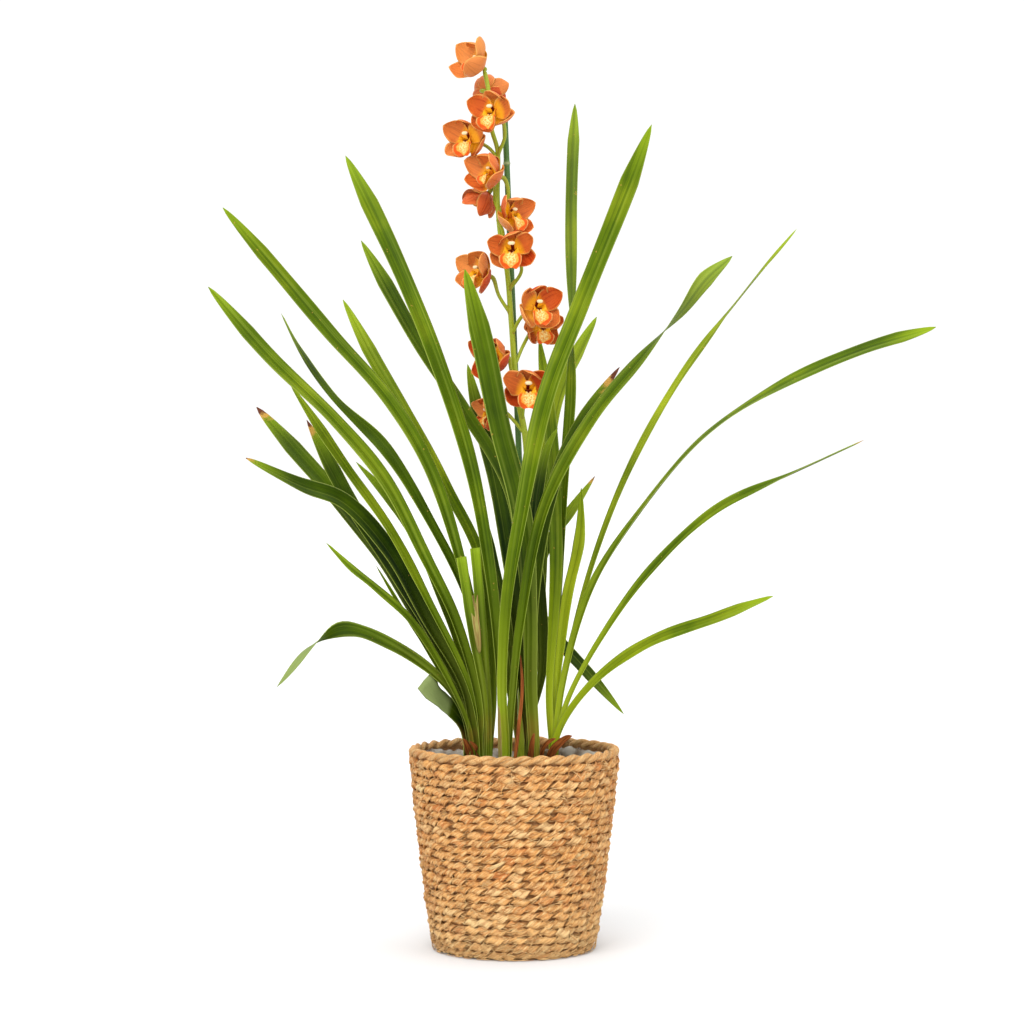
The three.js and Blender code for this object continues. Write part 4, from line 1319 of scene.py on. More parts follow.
@dataclass
class Shoot:
    """A leafy growth: a fan of folded leaves from one pseudobulb."""

    name: str
    foot: tuple[float, float]
    leaves: tuple[Leaf, ...]
    bulb_radius: float = 12.0
    bulb_low: float = 168.0
    bulb_high: float = 211.0
    root_height: float = 199.0
    leaf_step: float = 7.0
    points_across: int = 15

    def leaf(self, leaf: Leaf, rng: np.random.Generator) -> Patch:
        """The body of one leaf.

        The section is a V whose sides lean up by the fold angle, softened at
        the midrib, with edges that droop a little. The half width grows from
        0.9 to 1 over the first 0.6 of the length and falls to the tip as the
        0.6th power of the distance left over the taper.

        Args:
            leaf: The leaf.
            rng: The source of small wanderings.

        Returns:
            The patch, with every mark that the leaf's finish reads.
        """
        places = seen(leaf.route)
        root = np.append(blend(places[0, :2], np.array(self.foot), 0.4), self.root_height)
        line = Route(np.vstack([root, places]))
        hidden = float(np.linalg.norm(places[0] - root)) / line.length
        steps = max(14, round(line.length / self.leaf_step))
        share = np.linspace(0, 1, steps + 1)
        along = np.clip((share - hidden) / (1 - hidden), 0, 1)
        lean = math.copysign(1.0, line.fine[-1, 0] - line.fine[0, 0])
        facing = np.stack(np.broadcast_arrays(blend(-0.55 * lean, -0.1 * lean, along), -0.78, 0.6),
                          axis=-1)
        heading = line.heading(share)
        upper = square_to(heading, facing)
        phase = rng.uniform(0, math.tau, 3)
        twist = 0.1 * np.sin(5 * along + phase[0]) * along
        for start, end, degrees in leaf.rolls:
            twist = twist + math.radians(degrees) * ease(start, end, along)
        if leaf.turn:
            twist = twist + math.pi * ease(leaf.turn - 0.18, leaf.turn + 0.18, along)
        side, upper = twisted(np.cross(heading, upper), upper, twist)
        left = np.clip((1 - along) * line.length / leaf.taper, 0, 1)
        narrow = np.ones_like(along) if leaf.blunt else np.maximum(left**0.6, 0.03)
        half = leaf.width / 2 * blend(0.9, 1, ease(0, 0.6, along)) * narrow
        half = (half * (1 + 0.025 * np.sin(19 * along + phase[1])))[:, None]
        fold = leaf.folded * np.radians(blend(50, 18, ease(0.1, 0.6, along)))
        if leaf.turn:
            fold = fold * np.minimum(1, np.abs(along - leaf.turn) / 0.2)
        fold = fold[:, None]
        wave = (0.35 * np.sin(31 * along + phase[2]) * ease(0.2, 0.5, along))[:, None]
        across = np.linspace(-1, 1, self.points_across)
        soft = np.sqrt(across**2 + 0.0064) - 0.58
        rise = half * (soft * np.sin(fold) - 0.09 * across**4) + wave * across**3
        thick = np.minimum(0.65 + 0.75 * bell(across / 0.16), half * 0.7)
        marks = {
            "across": across,
            "root": (share * line.length)[:, None],
            "tip": ((1 - share) * line.length)[:, None],
            "half": half,
            "tone": leaf.tone,
            "young": leaf.young,
            "wan": leaf.wan,
            "flap": ease(leaf.flap - 0.02, leaf.flap + 0.02, along)[:, None],
            "scorch": leaf.tip.value,
        }
        return blade(line.at(share), side, upper, half * across * np.cos(fold), rise, thick, marks)

    def bulb(self) -> Patch:
        """The pseudobulb: an egg with lengthwise ribs, where the leaf bases wrap it."""
        turn = full_turn(48)
        angle = np.linspace(0.02, math.pi - 0.02, 26)[:, None]
        wide = self.bulb_radius * np.sin(angle) * (1 + 0.035 * np.sin(9 * turn))
        middle = (self.bulb_low + self.bulb_high) / 2
        tall = (self.bulb_high - self.bulb_low) / 2
        rings = round_axis(wide, turn, middle - tall * np.cos(angle)) * np.array([1, 0.8, 1]) \
            + np.array([*self.foot, 0])
        marks = {"across": np.sin(9 * turn), "root": 60.0, "tip": 400.0, "half": 8.0,
                 "tone": 0.3, "young": 0.5, "scorch": Tip.FRESH.value}
        return skin(rings, marks)

    def build(self, finish: bpy.types.Material, seed: int) -> None:
        """Makes the growth as one piece.

        Args:
            finish: The leaves' material.
            seed: Seeds the leaves' small wanderings.
        """
        rng = np.random.default_rng(seed)
        leaves = [self.leaf(leaf, rng) for leaf in self.leaves]
        Piece(self.name + "_leaves").add(self.bulb(), *leaves).build(finish, "leaf", self.name)


SHOOTS = (
    Shoot("shoot_left", (-47, 0), (
        Leaf(((-49, 225, 0), (-57, 260, -4), (-81, 295, -12), (-134, 333, -32), (-186, 351, -60),
              (-220, 334, -84), (-261, 287, -110)), 18, 0.3, turn=0.76, taper=120, wan=0.8),
        Leaf(((-48, 225, 6), (-52, 242, 8), (-64, 259, 2), (-77, 271, -8), (-88, 281, -18),
              (-99, 294, -24)), 25, 0.12, 0.0, blunt=True, wan=0.9, folded=0.4, flap=0.52),
        Leaf(((-47, 225, -8), (-53, 251, -11), (-81, 311, -18), (-114, 361, -28),
              (-153, 397, -42), (-180, 419, -54), (-207, 446, -66)), 11, 0.5, taper=50),
        Leaf(((-48, 225, 4), (-59, 260, 5), (-92, 322, 6), (-128, 381, 4), (-152, 421, 2)),
             6, 0.5),
        Leaf(((-45, 225, -3), (-54, 284, -5), (-92, 355, -8), (-136, 436, -14), (-186, 491, -34),
              (-235, 510, -66), (-295, 539, -110)), 23, 0.15, tip=Tip.TOUCHED, taper=96),
        Leaf(((-46, 225, 4), (-57, 273, 6), (-98, 350, 13), (-142, 427, 22), (-197, 498, 36),
              (-241, 548, 50), (-283, 595, 64)), 24, 0.3, tip=Tip.DRY),
        Leaf(((-45, 225, 0), (-51, 267, 1), (-81, 328, 2), (-125, 405, 4), (-175, 482, 8),
              (-202, 531, 12), (-228, 581, 16)), 20, 0.18, tip=Tip.DRY),
    )),
    Shoot("shoot_front_left", (-32, -34), (
        Leaf(((-35, 225, -34), (-40, 273, -36), (-65, 361, -46), (-98, 430, -56),
              (-142, 515, -68), (-197, 581, -80), (-268, 650, -90), (-336, 727, -96)), 20, 0.5),
        Leaf(((-36, 225, -32), (-48, 284, -36), (-92, 377, -44), (-136, 460, -48),
              (-186, 531, -44), (-246, 620, -34)), 13, 0.65),
        Leaf(((-35, 225, -29), (-44, 273, -28), (-70, 361, -25), (-103, 443, -22),
              (-136, 493, -18), (-174, 535, -12)), 15, 0.45),
        Leaf(((-32, 225, -33), (-31, 284, -34), (-51, 383, -38), (-92, 469, -42),
              (-142, 550, -42), (-197, 605, -32), (-235, 658, -16), (-256, 698, 0)), 15, 0.3,
             rolls=((0.55, 0.78, 84),)),
        Leaf(((-30, 225, -37), (-31, 284, -40), (-57, 416, -51), (-92, 526, -64),
              (-136, 601, -80), (-202, 676, -104), (-268, 754, -134), (-320, 814, -160)), 19,
             0.5),
        Leaf(((-28, 225, -31), (-24, 284, -28), (-37, 427, -24), (-76, 509, -24),
              (-120, 590, -20), (-156, 652, -10), (-188, 713, 2)), 17, 0.55),
        Leaf(((-31, 225, -40), (-33, 273, -48), (-46, 350, -64), (-58, 430, -72)), 12, 0.3,
             0.3, blunt=True),
        Leaf(((-28, 225, -38), (-29, 273, -42), (-36, 361, -58), (-43, 440, -64)), 12, 0.3,
             0.3, blunt=True),
    )),
    Shoot("shoot_front", (-9, -47), (
        Leaf(((-13, 225, -46), (-15, 284, -48), (-26, 405, -54), (-48, 531, -60),
              (-85, 647, -62), (-125, 746, -52), (-158, 817, -36), (-185, 871, -16)), 21, 0.42),
        Leaf(((-9, 225, -50), (-12, 284, -55), (-7, 383, -68), (8, 476, -84), (34, 603, -104),
              (73, 707, -126), (117, 817, -150), (151, 905, -172)), 23, 0.5, 0.55),
        Leaf(((-5, 225, -48), (-2, 267, -50), (8, 361, -60), (34, 487, -68), (84, 581, -62),
              (139, 649, -50), (185, 702, -36), (210, 735, -26), (240, 761, -14)), 18, 0.5,
             turn=0.86, taper=44),
    )),
    Shoot("shoot_middle", (18, -23), (
        Leaf(((20, 225, -26), (17, 284, -31), (16, 372, -42), (7, 482, -58), (-15, 570, -72),
              (-33, 658, -88), (-54, 746, -108)), 28, 0.3),
        Leaf(((17, 225, -22), (19, 284, -22), (13, 394, -24), (-7, 509, -30), (-54, 590, -34),
              (-103, 663, -20), (-142, 732, 6), (-168, 778, 32)), 18, 0.3),
        Leaf(((15, 225, -19), (9, 284, -14), (-2, 405, -3), (-20, 515, 14), (-41, 597, 34),
              (-51, 642, 44)), 20, 0.15),
        Leaf(((20, 225, -20), (21, 284, -19), (25, 416, -22), (51, 531, -26), (86, 597, -30),
              (116, 639, -34)), 17, 0.3, tip=Tip.SCORCHED),
        Leaf(((18, 225, -18), (18, 284, -14), (16, 339, -12), (20, 427, -10), (26, 504, -6),
              (38, 553, -4), (48, 572, -3)), 16, 0.2),
    )),
    Shoot("shoot_right", (44, 6), (
        Leaf(((43, 225, 8), (43, 273, 10), (50, 405, 13), (55, 515, 16), (62, 603, 24),
              (63, 713, 36), (63, 823, 50), (67, 928, 66)), 14, 0.46, 1.0, turn=0.66,
             taper=44, wan=0.1),
        Leaf(((41, 225, 4), (38, 273, 3), (46, 427, 6), (41, 559, 22), (28, 671, 44)), 17, 0.5,
             1.0),
        Leaf(((46, 225, 8), (46, 273, 7), (58, 383, 4), (72, 449, 2), (74, 506, 0)), 14, 0.85,
             1.0),
        Leaf(((46, 225, 10), (53, 284, 14), (81, 405, 22), (122, 517, 36), (177, 619, 66),
              (246, 713, 110), (311, 791, 150)), 10, 0.7, 0.9,
             rolls=((0.68, 0.84, 58), (0.86, 1.0, -30))),
        Leaf(((47, 225, 4), (53, 284, 1), (84, 394, -6), (139, 482, -10), (210, 564, 0),
              (293, 619, 20), (381, 658, 50), (464, 683, 86)), 16.5, 0.5, 0.9, taper=50,
             rolls=((0.2, 0.42, 36), (0.58, 0.78, -36))),
        Leaf(((47, 225, 1), (60, 273, -5), (98, 344, -22), (150, 416, -38), (221, 482, -66),
              (304, 522, -102), (385, 559, -140)), 12.5, 0.5, 0.9, tip=Tip.TOUCHED,
             rolls=((0.7, 0.86, 55),)),
        Leaf(((46, 225, -2), (58, 254, -8), (95, 299, -34), (150, 337, -78), (221, 363, -126),
              (285, 387, -172)), 17, 0.62, 0.8, taper=50),
    )),
    Shoot("shoot_back", (7, 44), (
        Leaf(((10, 225, 44), (22, 300, 48), (29, 383, 58), (34, 526, 92), (48, 608, 128),
              (70, 656, 162), (91, 694, 192)), 18, 0.6),
        Leaf(((8, 225, 44), (10, 300, 50), (16, 372, 60), (34, 438, 74), (62, 480, 100),
              (89, 519, 128)), 15, 0.6, tip=Tip.TOUCHED),
        Leaf(((6, 225, 47), (-8, 320, 62), (-8, 380, 78), (10, 388, 96), (42, 346, 116),
              (82, 302, 134), (121, 257, 146)), 16, 0.15),
        Leaf(((4, 225, 43), (-2, 328, 48), (-14, 383, 54), (-24, 427, 60), (-40, 500, 84)), 15,
             0.12),
        Leaf(((12, 225, 42), (31, 300, 38), (31, 360, 42), (26, 414, 48), (18, 470, 58)), 15,
             0.15),
    )),
)


@dataclass(frozen=True)
class Sheath:
    """A dried leaf base that clings to a shoot: its route, width and fold in degrees."""

    route: tuple[Point, ...]
    width: float
    fold: float = 30.0


@dataclass
class Sheaths:
    """The dried sheaths round the shoots' feet."""

    orange: tuple[Sheath, ...] = (
        Sheath(((40, 200, 0), (46, 216, -14), (56, 226, -24), (64, 233, -32)), 15),
        Sheath(((30, 203, -10), (33, 216, -24), (38, 224, -34), (46, 230, -42)), 9),
        Sheath(((18, 205, -26), (20, 222, -40), (22, 236, -46)), 8),
        Sheath(((-48, 205, 0), (-52, 220, -12), (-56, 230, -16)), 11),
        Sheath(((-40, 205, -20), (-43, 218, -40), (-49, 227, -48)), 9),
        Sheath(((1, 205, -46), (5, 240, -50), (9, 285, -50), (7, 322, -46)), 5.2, 40),
    )
    straw: tuple[Sheath, ...] = (
        Sheath(((-15, 205, -60), (-16, 236, -64), (-17, 266, -64)), 6, 45),
        Sheath(((-44, 388, -60), (-43, 366, -63.5), (-40.5, 345, -63), (-38, 324, -58)), 9, 24),
    )

    @staticmethod
    def body(sheath: Sheath, number: int) -> Patch:
        """A pointed, folded scale.

        The half width is the root of 1 - u^3, and the edges curl up with u^2.

        Args:
            sheath: Its route and sizes.
            number: Its place in the row, which sets its streaks.

        Returns:
            The patch with marks across, root and tone.
        """
        line = Route(seen(sheath.route))
        along = np.linspace(0, 1, 25)
        heading = line.heading(along)
        upper = square_to(heading, np.array([0.0, -0.75, 0.6]))
        across = np.linspace(-1, 1, 11)
        half = (sheath.width / 2 * np.maximum(np.sqrt(1 - along**3), 0.05))[:, None]
        fold = math.radians(sheath.fold)
        curl = 0.5 * along[:, None] ** 2 * across**2
        rise = half * (np.abs(across) ** 1.3 * math.sin(fold) + curl)
        marks = {"across": across, "root": (along * line.length)[:, None], "tone": number * 0.13}
        return blade(line.at(along), np.cross(heading, upper), upper,
                     half * across * math.cos(fold), rise, 0.5, marks)

    def build(self) -> None:
        """Makes the orange-brown and the straw-coloured sheaths."""
        orange = DryFinish("dry orange sheath", paint(196, 112, 50), paint(112, 56, 18))
        straw = DryFinish("dry straw sheath", paint(170, 168, 88), paint(140, 100, 56))
        for name, finish, row in (("orange_sheaths", orange, self.orange),
                                  ("straw_sheaths", straw, self.straw)):
            bodies = [self.body(sheath, number) for number, sheath in enumerate(row)]
            Piece(name).add(*bodies).build(finish.make(), "leaf")


@dataclass(frozen=True)
class Bloom:
    """One flower of the spray.

    Attributes:
        at: The place of its heart.
        leaves: The height at which its stalk leaves the stem.
        yaw, pitch: Its turn to the right and upwards, in degrees.
        open: How far it has opened, from 0 to 1.
        blush: How red its tepals are.
        lip: The size of its lip beside that of its tepals.
        bow: How far its stalk bows to the right.
    """

    at: Point
    leaves: float
    yaw: float
    pitch: float
    size: float
    open: float
    blush: float
    lip: float = 0.9
    bow: float = 0.0

    def turned(self, local: Array) -> Array:
        """Turns vectors from the flower's own axes, where it looks along -Y."""
        yaw, pitch = math.radians(self.yaw), math.radians(-self.pitch)
        x, y, z = local[..., 0], local[..., 1], local[..., 2]
        y, z = y * math.cos(pitch) - z * math.sin(pitch), y * math.sin(pitch) + z * math.cos(pitch)
        x, y = x * math.cos(yaw) - y * math.sin(yaw), x * math.sin(yaw) + y * math.cos(yaw)
        return np.stack([x, y, z], axis=-1)

    def placed(self, local: Array, share: float = 1.0) -> Array:
        """Turns, scales and moves points of the flower to their place.

        Args:
            local: The points, in the flower's axes.
            share: A further scale, for the lip and the column.

        Returns:
            The points in the frame of the part.
        """
        return seen([self.at])[0] + self.size * share * self.turned(local)

    def blade(self, centre: Array, side: Array, upper: Array, lateral: Array, rise: Array,
              thick: Array, marks: Marks, share: float = 1.0) -> Patch:
        """A blade of the flower.

        Args:
            centre, side, upper: Its line and directions, in the flower's axes.
            lateral, rise, thick, marks: Its section, as for the function blade.
            share: A further scale, for the lip.

        Returns:
            The blade in the frame of the part.
        """
        size = self.size * share
        return blade(self.placed(centre, share), self.turned(side) * size,
                     self.turned(upper) * size, lateral, rise, thick, marks)


BLOOMS = (
    Bloom((-38, 970, -4), 960, -62, 30, 1.22, 0.46, -0.45, 0.6),
    Bloom((-31, 942, 18), 934, 158, 8, 0.86, 0.68, 0.35),
    Bloom((-21, 917, -34), 872, -28, 2, 1.1, 0.62, 0.15, 0.88, 8),
    Bloom((-48, 888, 0), 868, -28, 0, 1.08, 0.64, 0.15, 0.88),
    Bloom((-22, 850, -18), 808, -54, 14, 1.22, 0.46, 0.0, 0.6, 11),
    Bloom((-30, 827, 18), 812, -110, -50, 1.04, 0.5, 0.35, 0.6),
    Bloom((-7, 804, -16), 772, 48, 8, 1.12, 0.56, 0.3, 0.8),
    Bloom((-1, 767, -38), 724, -8, 0, 1.08, 0.6, 0.28, 0.96, 12),
    Bloom((-34, 740, -12), 698, -50, 10, 1.14, 0.5, 0.2, 0.8, -4),
    Bloom((23, 704, -30), 676, 24, 0, 1.12, 0.62, 0.26, 0.86),
    Bloom((29, 684, 14), 640, 20, -14, 0.96, 0.6, 0.5),
    Bloom((-17, 650, -16), 622, -48, 0, 1.2, 0.62, 0.6, 0.7),
    Bloom((15, 614, -36), 582, 4, 0, 1.16, 0.6, 0.45, 0.9),
    Bloom((-22, 588, 4), 566, -68, -4, 0.96, 0.5, 0.4, 0.8),
)


@dataclass(frozen=True)
class Tepal:
    """A sepal or petal.

    Attributes:
        angle: Its bearing in degrees from straight up.
        length, width: Its sizes along its middle line and across.
        back: How far behind the flower's heart it leaves the hub.
        curl: How far it bends forwards, beside the flower's opening.
        cup: Half the turn of its section, in radians.
    """

    angle: float
    length: float
    width: float
    back: float
    curl: float
    cup: float


@dataclass
class Flower:
    """The parts of a cymbidium bloom, in its own axes."""

    tepals: tuple[Tepal, ...] = (
        Tepal(0, 33, 29, 3.4, 1.3, 0.8),
        Tepal(122, 33, 27.5, 3.4, 1.02, 0.7),
        Tepal(-122, 33, 27.5, 3.4, 1.02, 0.7),
        Tepal(62, 32, 26, -0.8, 0.9, 0.8),
        Tepal(-62, 32, 26, -0.8, 0.9, 0.8),
    )
    tepal_outline: tuple[tuple[float, float], ...] = (
        (0, 0.42), (0.08, 0.58), (0.2, 0.8), (0.34, 0.96), (0.46, 1.0), (0.58, 0.96),
        (0.7, 0.87), (0.81, 0.71), (0.9, 0.5), (0.96, 0.29), (1, 0.05))
    tepal_steps: int = 22
    hub_back: float = 5.0
    hub_front: float = 1.6
    hub_radius: float = 3.0
    lip_width: float = 24.5
    lip_route: tuple[Point, ...] = (
        (0, 2.4, -0.8), (0, 6, -2.8), (0, 9.6, -3.6), (0, 12.6, -4.8), (0, 14.8, -8.2),
        (0, 15.4, -12.4), (0, 14.6, -16.2), (0, 12.8, -19.2))
    lip_outline: tuple[tuple[float, float], ...] = (
        (0, 0.26), (0.08, 0.55), (0.18, 0.82), (0.3, 0.86), (0.4, 0.7), (0.5, 0.84),
        (0.62, 1.0), (0.75, 0.98), (0.86, 0.8), (0.94, 0.54), (0.98, 0.34), (1, 0.08))
    cap_size: Point = (3.8, 2.4, 2.3)
    cap_place: Point = (0.0, -13.4, 6.6)

    def tepal(self, tepal: Tepal, bloom: Bloom, rng: np.random.Generator) -> Patch:
        """One sepal or petal.

        Its middle line leaves the hub outwards and bends forwards: the bend
        goes evenly from a first to a last angle, and the place is the sum of
        short steps. The section is an arc whose turn at the edge is the cup.
        The half width is read from the outline.

        Args:
            tepal: Its bearing and sizes.
            bloom: The flower it belongs to.
            rng: The source of small differences.

        Returns:
            The patch with marks across, along, tone and blush.
        """
        turn = math.radians(tepal.angle + rng.normal(0, 6.0))
        outward = np.array([math.sin(turn), 0.0, math.cos(turn)])
        forward = np.array([0.0, -1.0, 0.0])
        last = math.radians(blend(118, 66, bloom.open) * tepal.curl * rng.uniform(0.86, 1.14))
        first = math.radians(blend(20, -16, bloom.open))
        along = np.linspace(0, 1, self.tepal_steps + 1)
        bend = blend(first, last, (along[:-1] + along[1:]) / 2)[:, None]
        step = tepal.length / self.tepal_steps * (np.cos(bend) * outward + np.sin(bend) * forward)
        start = np.array([0.0, tepal.back, 0.0]) + 1.4 * outward
        centre = start + np.vstack([np.zeros(3), np.cumsum(step, axis=0)])
        heading = unit(np.gradient(centre, axis=0))
        upper = square_to(heading, forward - 0.9 * outward)
        twist = math.radians(rng.normal(0, 14)) * along
        side, upper = twisted(np.cross(heading, upper), upper, twist)
        across = np.linspace(-1, 1, 15)
        form = np.interp(along, *np.array(self.tepal_outline).T)
        half = (tepal.width / 2 * form * rng.uniform(0.9, 1.08))[:, None]
        wave = (1.7 * np.sin(9 * along + rng.uniform(0, 6)) * form)[:, None]
        along = along[:, None]
        cup = tepal.cup * blend(1.0, 0.75, along)
        rib = 0.35 * bell(across / 0.12) * (1 - along)
        rise = half * (1 - np.cos(cup * across)) / cup + wave * across**3 - rib
        thick = np.minimum(0.55 + 0.5 * (1 - across**2) * (1 - 0.5 * along), half * 0.5)
        marks = {"across": across, "along": along, "tone": rng.uniform(0, 1),
                 "blush": bloom.blush + rng.normal(0, 0.15)}
        return bloom.blade(centre, side, upper, half * np.sin(cup * across) / cup, rise, thick,
                           marks)

    def hub(self, bloom: Bloom) -> Patch:
        """The egg-shaped hub that holds the tepals."""
        angle = np.linspace(0.03, math.pi - 0.03, 11)[:, None]
        depth = (self.hub_back + self.hub_front) / 2 * np.cos(angle) \
            + (self.hub_back - self.hub_front) / 2
        rings = round_axis(self.hub_radius * np.sin(angle), full_turn(16), depth)[..., [0, 2, 1]]
        marks = {"across": 0.0, "along": 0.5, "tone": 0.2, "under": 1.0, "blush": bloom.blush}
        return skin(bloom.placed(rings), marks)

    def lip(self, bloom: Bloom, rng: np.random.Generator) -> Patch:
        """The lip: two lobes that stand up beside the column, and a frilled apron.

        The fold falls from 46 degrees at the side lobes to a shallow scoop past
        the waist. The apron's edge is waved by the fourth power of the distance
        across, its tip is lifted, and two keels run down its middle.

        Args:
            bloom: The flower it belongs to.
            rng: The source of small differences.

        Returns:
            The patch with the lip's marks.
        """
        line = Route(np.array([(x, -forward, z) for x, forward, z in self.lip_route]))
        along = np.sin(np.linspace(0, 1, 37) * math.pi / 2) ** 0.9
        centre, heading = line.at(along), line.heading(along)
        upper = square_to(heading, np.array([0.0, -0.5, 0.8]))
        half = (self.lip_width / 2 * np.interp(along, *np.array(self.lip_outline).T))[:, None]
        along = along[:, None]
        across = np.linspace(-1, 1, 21)
        far = np.abs(across)
        fold = np.radians(blend(46, 10, ease(0.3, 0.52, along)))
        apron = ease(0.46, 0.62, along)
        scoop = half * (0.2 * across**2 + 0.16 * across**4)
        frill = np.sin(15 * along + 2.0 * np.sign(across) + rng.uniform(0, 6)) * far**4
        tip_lift = 2.2 * ease(0.86, 1.0, along)
        keels = bell((far - 0.2) / 0.07) * ease(0.12, 0.26, along) * ease(0.56, 0.44, along)
        rise = half * far**1.35 * np.sin(fold) + apron * (scoop + 0.75 * frill + tip_lift) \
            + 1.1 * keels
        hem = np.maximum(np.clip((far - 0.9) * 10, 0, 1) * apron, ease(0.965, 1.0, along))
        return bloom.blade(centre, np.cross(heading, upper), upper,
                           half * across * np.cos(fold * far**0.4), rise,
                           np.minimum(0.85, half * 0.5),
                           {"across": across, "along": along, "hem": hem}, bloom.lip)

    def column(self, bloom: Bloom) -> Patch:
        """The column, which arches over the lip: a tube, flat below, that swells to its tip."""
        along = np.linspace(0, 1, 17)[:, None]
        turn = full_turn(16)
        height = 0.8 + 7.4 * np.sin(along * 1.9) - 1.0 * along**3
        wide = blend(1.9, 3.3, ease(0.2, 0.9, along)) \
            * np.sqrt(np.clip(1.02 - along**14, 0.03, 1))
        rings = np.stack(np.broadcast_arrays(
            wide * np.cos(turn), -blend(1.6, 13.2, along),
            height + 0.62 * wide * np.maximum(np.sin(turn), -0.45)), axis=-1)
        # stain: maroon marking with painted shade on the column's underside.
        marks = {"column": 1.0, "stain": np.clip(-np.sin(turn) * 1.6, 0, 1), "along": 1.0,
                 "across": 0.0}
        return skin(bloom.placed(rings, bloom.lip), marks)

    def cap(self, bloom: Bloom) -> Patch:
        """The pale cap on the column's tip: a low, wide egg with a shallow groove."""
        angle = np.linspace(0.05, math.pi - 0.05, 13)[:, None]
        ball = round_axis(np.sin(angle), full_turn(20), -np.cos(angle))[..., [0, 2, 1]]
        groove = 1 - 0.12 * bell(ball[..., :1] / 0.22)
        rings = ball * np.array(self.cap_size) * groove + np.array(self.cap_place)
        return skin(bloom.placed(rings, bloom.lip), {"cap": 1.0, "along": 1.0, "across": 0.0})

    def build(self, bloom: Bloom, number: int, petal: bpy.types.Material,
              lip: bpy.types.Material) -> None:
        """Makes one flower as two pieces.

        Args:
            bloom: The flower.
            number: Its number from the top of the stem, which also seeds it.
            petal: The tepals' material.
            lip: The lip's and column's material.
        """
        rng = np.random.default_rng(number)
        label = f"bloom_{number:02d}"
        tepals = [self.tepal(tepal, bloom, rng) for tepal in self.tepals]
        Piece(label + "_tepals").add(*tepals, self.hub(bloom)).build(
            petal, "petal", label + "_petals")
        Piece(label + "_heart").add(self.lip(bloom, rng), self.column(bloom),
                                    self.cap(bloom)).build(lip, "lip", label + "_lip")


@dataclass
class Spray:
    """The flower stem with its stalks, its bract and the blooms.

    Attributes:
        joints: The shares of the stem's length where it swells a little.
        bract: The route of the dry bract, from its foot on the stem to its tip.
    """

    flower: Flower
    stem_radius: float = 3.7
    tip_radius: float = 2.4
    stalk_radius: float = 2.0
    scale_radius: float = 2.3
    joints: tuple[float, ...] = (0.13, 0.27, 0.41)
    route: tuple[Point, ...] = (
        (8, 176, 12), (8, 273, 10), (14, 383, 8), (16, 469, 6), (13, 557, 4), (3, 614, 3),
        (-3, 689, 2), (-8, 747, 1), (-15, 784, 0), (-18, 823, -1), (-18, 876, -2),
        (-25, 902, -3), (-28, 942, -3), (-32, 962, -2))
    bract: tuple[Point, ...] = ((15, 490, 4), (17, 472, 0), (17, 455, -2), (16, 443, -3))

    def stalk(self, line: Route, bloom: Bloom) -> list[Patch]:
        """A bloom's stalk, with a small scale where it leaves the stem.

        Args:
            line: The stem.
            bloom: The flower at the stalk's end.

        Returns:
            The stalk and the scale.
        """
        shares = np.linspace(0, 1, 900)
        start = line.at(np.interp(bloom.leaves, line.at(shares)[:, 2], shares))
        back = bloom.turned(np.array([0.0, 1.0, 0.0]))
        end = seen([bloom.at])[0] + back * (self.flower.hub_back * bloom.size - 0.6)
        reach = float(np.linalg.norm(end - start))
        rise = blend(start, end, 0.35) + np.array([bloom.bow, 0, reach * 0.12])
        behind = end + back * min(9.0, reach * 0.4)
        flush = 0.45 * ease(0.3, 1.0, np.linspace(0, 1, 25))[:, None]
        stalk = tube(Route(np.stack([start - UP, rise, behind, end])),
                     lambda at: self.stalk_radius * (1 + 0.34 * ease(0.45, 1, at)), 24, 12,
                     {"flush": flush})
        scale = tube(Route(np.stack([start - 2.5 * UP, blend(start, rise, 0.25),
                                     blend(start, rise, 0.6)])),
                     lambda at: self.scale_radius * np.sqrt(np.clip(1 - at**2, 0.01, 1)), 8, 10,
                     {"flush": 0.75})
        return [stalk, scale]

    def build(self) -> None:
        """Makes the stem, the bract and every flower."""
        line = Route(seen(self.route))
        joints = np.array(self.joints)

        def girth(at: Array) -> Array:
            """Radius: from stem to tip, with a low swelling at each joint."""
            swell = bell((at[:, None] - joints) / 0.006).sum(axis=1)
            return blend(self.stem_radius, self.tip_radius, ease(0.3, 1, at)) + 0.7 * swell

        stem = tube(line, girth, 260, 16, {"flush": 0.0})
        stalks = [patch for bloom in BLOOMS for patch in self.stalk(line, bloom)]
        Piece("flower_stalks").add(stem, *stalks).build(
            StalkFinish().make(), "flower_stalk", "flower_stem")
        paper = DryFinish("dry bract", paint(222, 176, 150), paint(150, 92, 70))
        Piece("dry_bract").add(Sheaths.body(Sheath(self.bract, 9, 35), 3)).build(
            paper.make(), "flower_stalk")
        petal, lip = PetalFinish().make(), LipFinish().make()
        for number, bloom in enumerate(BLOOMS, start=1):
            self.flower.build(bloom, number, petal, lip)


@dataclass
class Stake:
    """The bamboo cane beside the stem."""

    foot: Point = (21, 20, 176)
    head: Point = (-10, 15, 912)
    radius: float = 3.3
    knots: tuple[float, ...] = (0.24, 0.42, 0.6, 0.78, 0.935)

    def build(self) -> None:
        """Makes the cane: a straight tube that swells at each knot."""
        foot, head = np.array(self.foot, float), np.array(self.head, float)
        line = Route(np.stack([blend(foot, head, at) for at in (0, 0.35, 0.7, 1)]))
        knots = np.array(self.knots)

        def swell(at: Array, spread: float) -> Array:
            """1 at each knot, falling off as a bell of the given spread in millimetres."""
            return bell((at[:, None] - knots) * line.length / spread).sum(axis=1)

        pale = np.clip(swell(np.linspace(0, 1, 401), 1.5), 0, 1)
        cane = tube(line, lambda at: self.radius + 0.75 * swell(at, 1.8), 400, 16,
                    {"knot": pale[:, None]})
        Piece("bamboo_cane").add(cane).build(CaneFinish().make(), "bamboo", "stake")


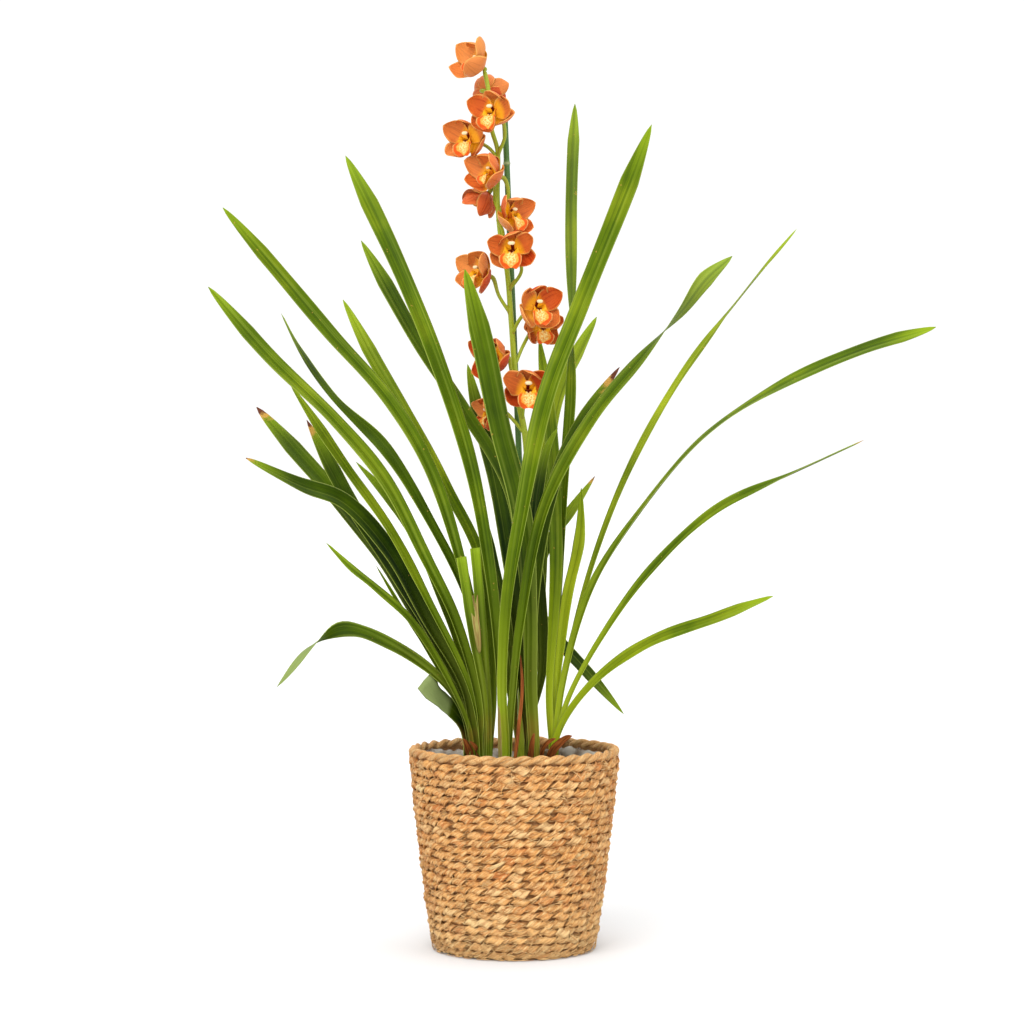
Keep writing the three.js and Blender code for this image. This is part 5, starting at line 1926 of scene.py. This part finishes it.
@dataclass(frozen=True)
class Lamp:
    """A wide, even light from one side, as from a large soft box.

    Attributes:
        name: The light's name.
        side: The side that it comes from.
        spread: How wide it looks from the plant, in degrees.
        strength: Its strength in watts a square metre.
    """

    name: str
    side: Point
    spread: float
    strength: float

    def build(self) -> None:
        """Hangs the light in the scene."""
        lamp = bpy.data.lights.new(self.name, "SUN")
        lamp.angle = math.radians(self.spread)
        lamp.energy = self.strength
        holder = bpy.data.objects.new(self.name, lamp)
        holder.rotation_euler = (-Vector(self.side)).to_track_quat("-Z", "Y").to_euler()
        bpy.context.scene.collection.objects.link(holder)


@dataclass
class Studio:
    """Floor, surroundings, lamps and camera.

    Attributes:
        eye_aim: The point in the middle of the picture, in millimetres.
        view_width: How wide the picture is at the basket's axis, in millimetres.
        floor_size: The floor's width, in metres.
        floor_drop: How far the floor lies below the basket, in millimetres.
        glow: The strength of the white surroundings.
    """

    eye_aim: Point = (-2.2, 0, 479.6)
    view_width: float = 1126.4
    floor_size: float = 120.0
    floor_drop: float = 0.4
    floor_colour: Colour = (0.64, 0.64, 0.64, 1.0)
    white: Colour = (1.0, 1.0, 1.0, 1.0)
    glow: float = 1.08
    lamps: tuple[Lamp, ...] = (
        Lamp("key", (-0.35, -1.0, 0.8), 55, 2.5),
        Lamp("fill", (1.0, -0.9, 0.5), 60, 0.7),
        Lamp("top", (0.1, 0.25, 1.0), 70, 1.0),
    )

    def floor(self) -> None:
        """A plain, pale floor."""
        bpy.ops.mesh.primitive_plane_add(size=self.floor_size,
                                         location=(0, 0, -self.floor_drop * MM))
        floor = bpy.context.object
        floor.name = "floor"
        r = Recipe("pale floor")
        floor.data.materials.append(r.finish(Base_Color=self.floor_colour, Roughness=0.9,
                                             Specular_IOR_Level=0.1))
        floor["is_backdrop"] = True

    def camera(self) -> None:
        """The camera, at the eye's place."""
        camera = bpy.data.cameras.new("camera")
        camera.sensor_fit = "HORIZONTAL"
        camera.angle = 2 * math.atan(self.view_width / 2 / EYE_DISTANCE)
        holder = bpy.data.objects.new("camera", camera)
        aim = Vector(self.eye_aim) * MM
        place = Vector((self.eye_aim[0], -EYE_DISTANCE, EYE_HEIGHT)) * MM
        holder.location = place
        holder.rotation_euler = (aim - place).to_track_quat("-Z", "Y").to_euler()
        bpy.context.scene.collection.objects.link(holder)
        bpy.context.scene.camera = holder

    def surroundings(self) -> None:
        """An even white all round."""
        world = bpy.data.worlds.new("white surroundings")
        world.use_nodes = True
        background = world.node_tree.nodes["Background"]
        background.inputs["Color"].default_value = self.white
        background.inputs["Strength"].default_value = self.glow
        bpy.context.scene.world = world
        bpy.context.scene.view_settings.view_transform = "Standard"

    def build(self) -> None:
        """Sets up camera, surroundings, floor and lamps."""
        self.camera()
        self.surroundings()
        self.floor()
        for lamp in self.lamps:
            lamp.build()


def main() -> None:
    """Builds the studio and the object, piece by piece."""
    logging.basicConfig(level=logging.INFO, format="%(name)s: %(message)s")
    Studio().build()
    basket = Basket()
    basket.build()
    PotFilling(basket, feet=[shoot.foot for shoot in SHOOTS]).build()
    leaf = LeafFinish().make()
    for seed, shoot in enumerate(SHOOTS, start=31):
        shoot.build(leaf, seed)
    Sheaths().build()
    Spray(Flower()).build()
    Stake().build()
    boxes = {"cad": CAD_BOX, "visual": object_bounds()}
    sizes = {name: [list(corner) for corner in box] for name, box in boxes.items()}
    LOG.info("boxes: %s", sizes)


if __name__ == "__main__":
    main()
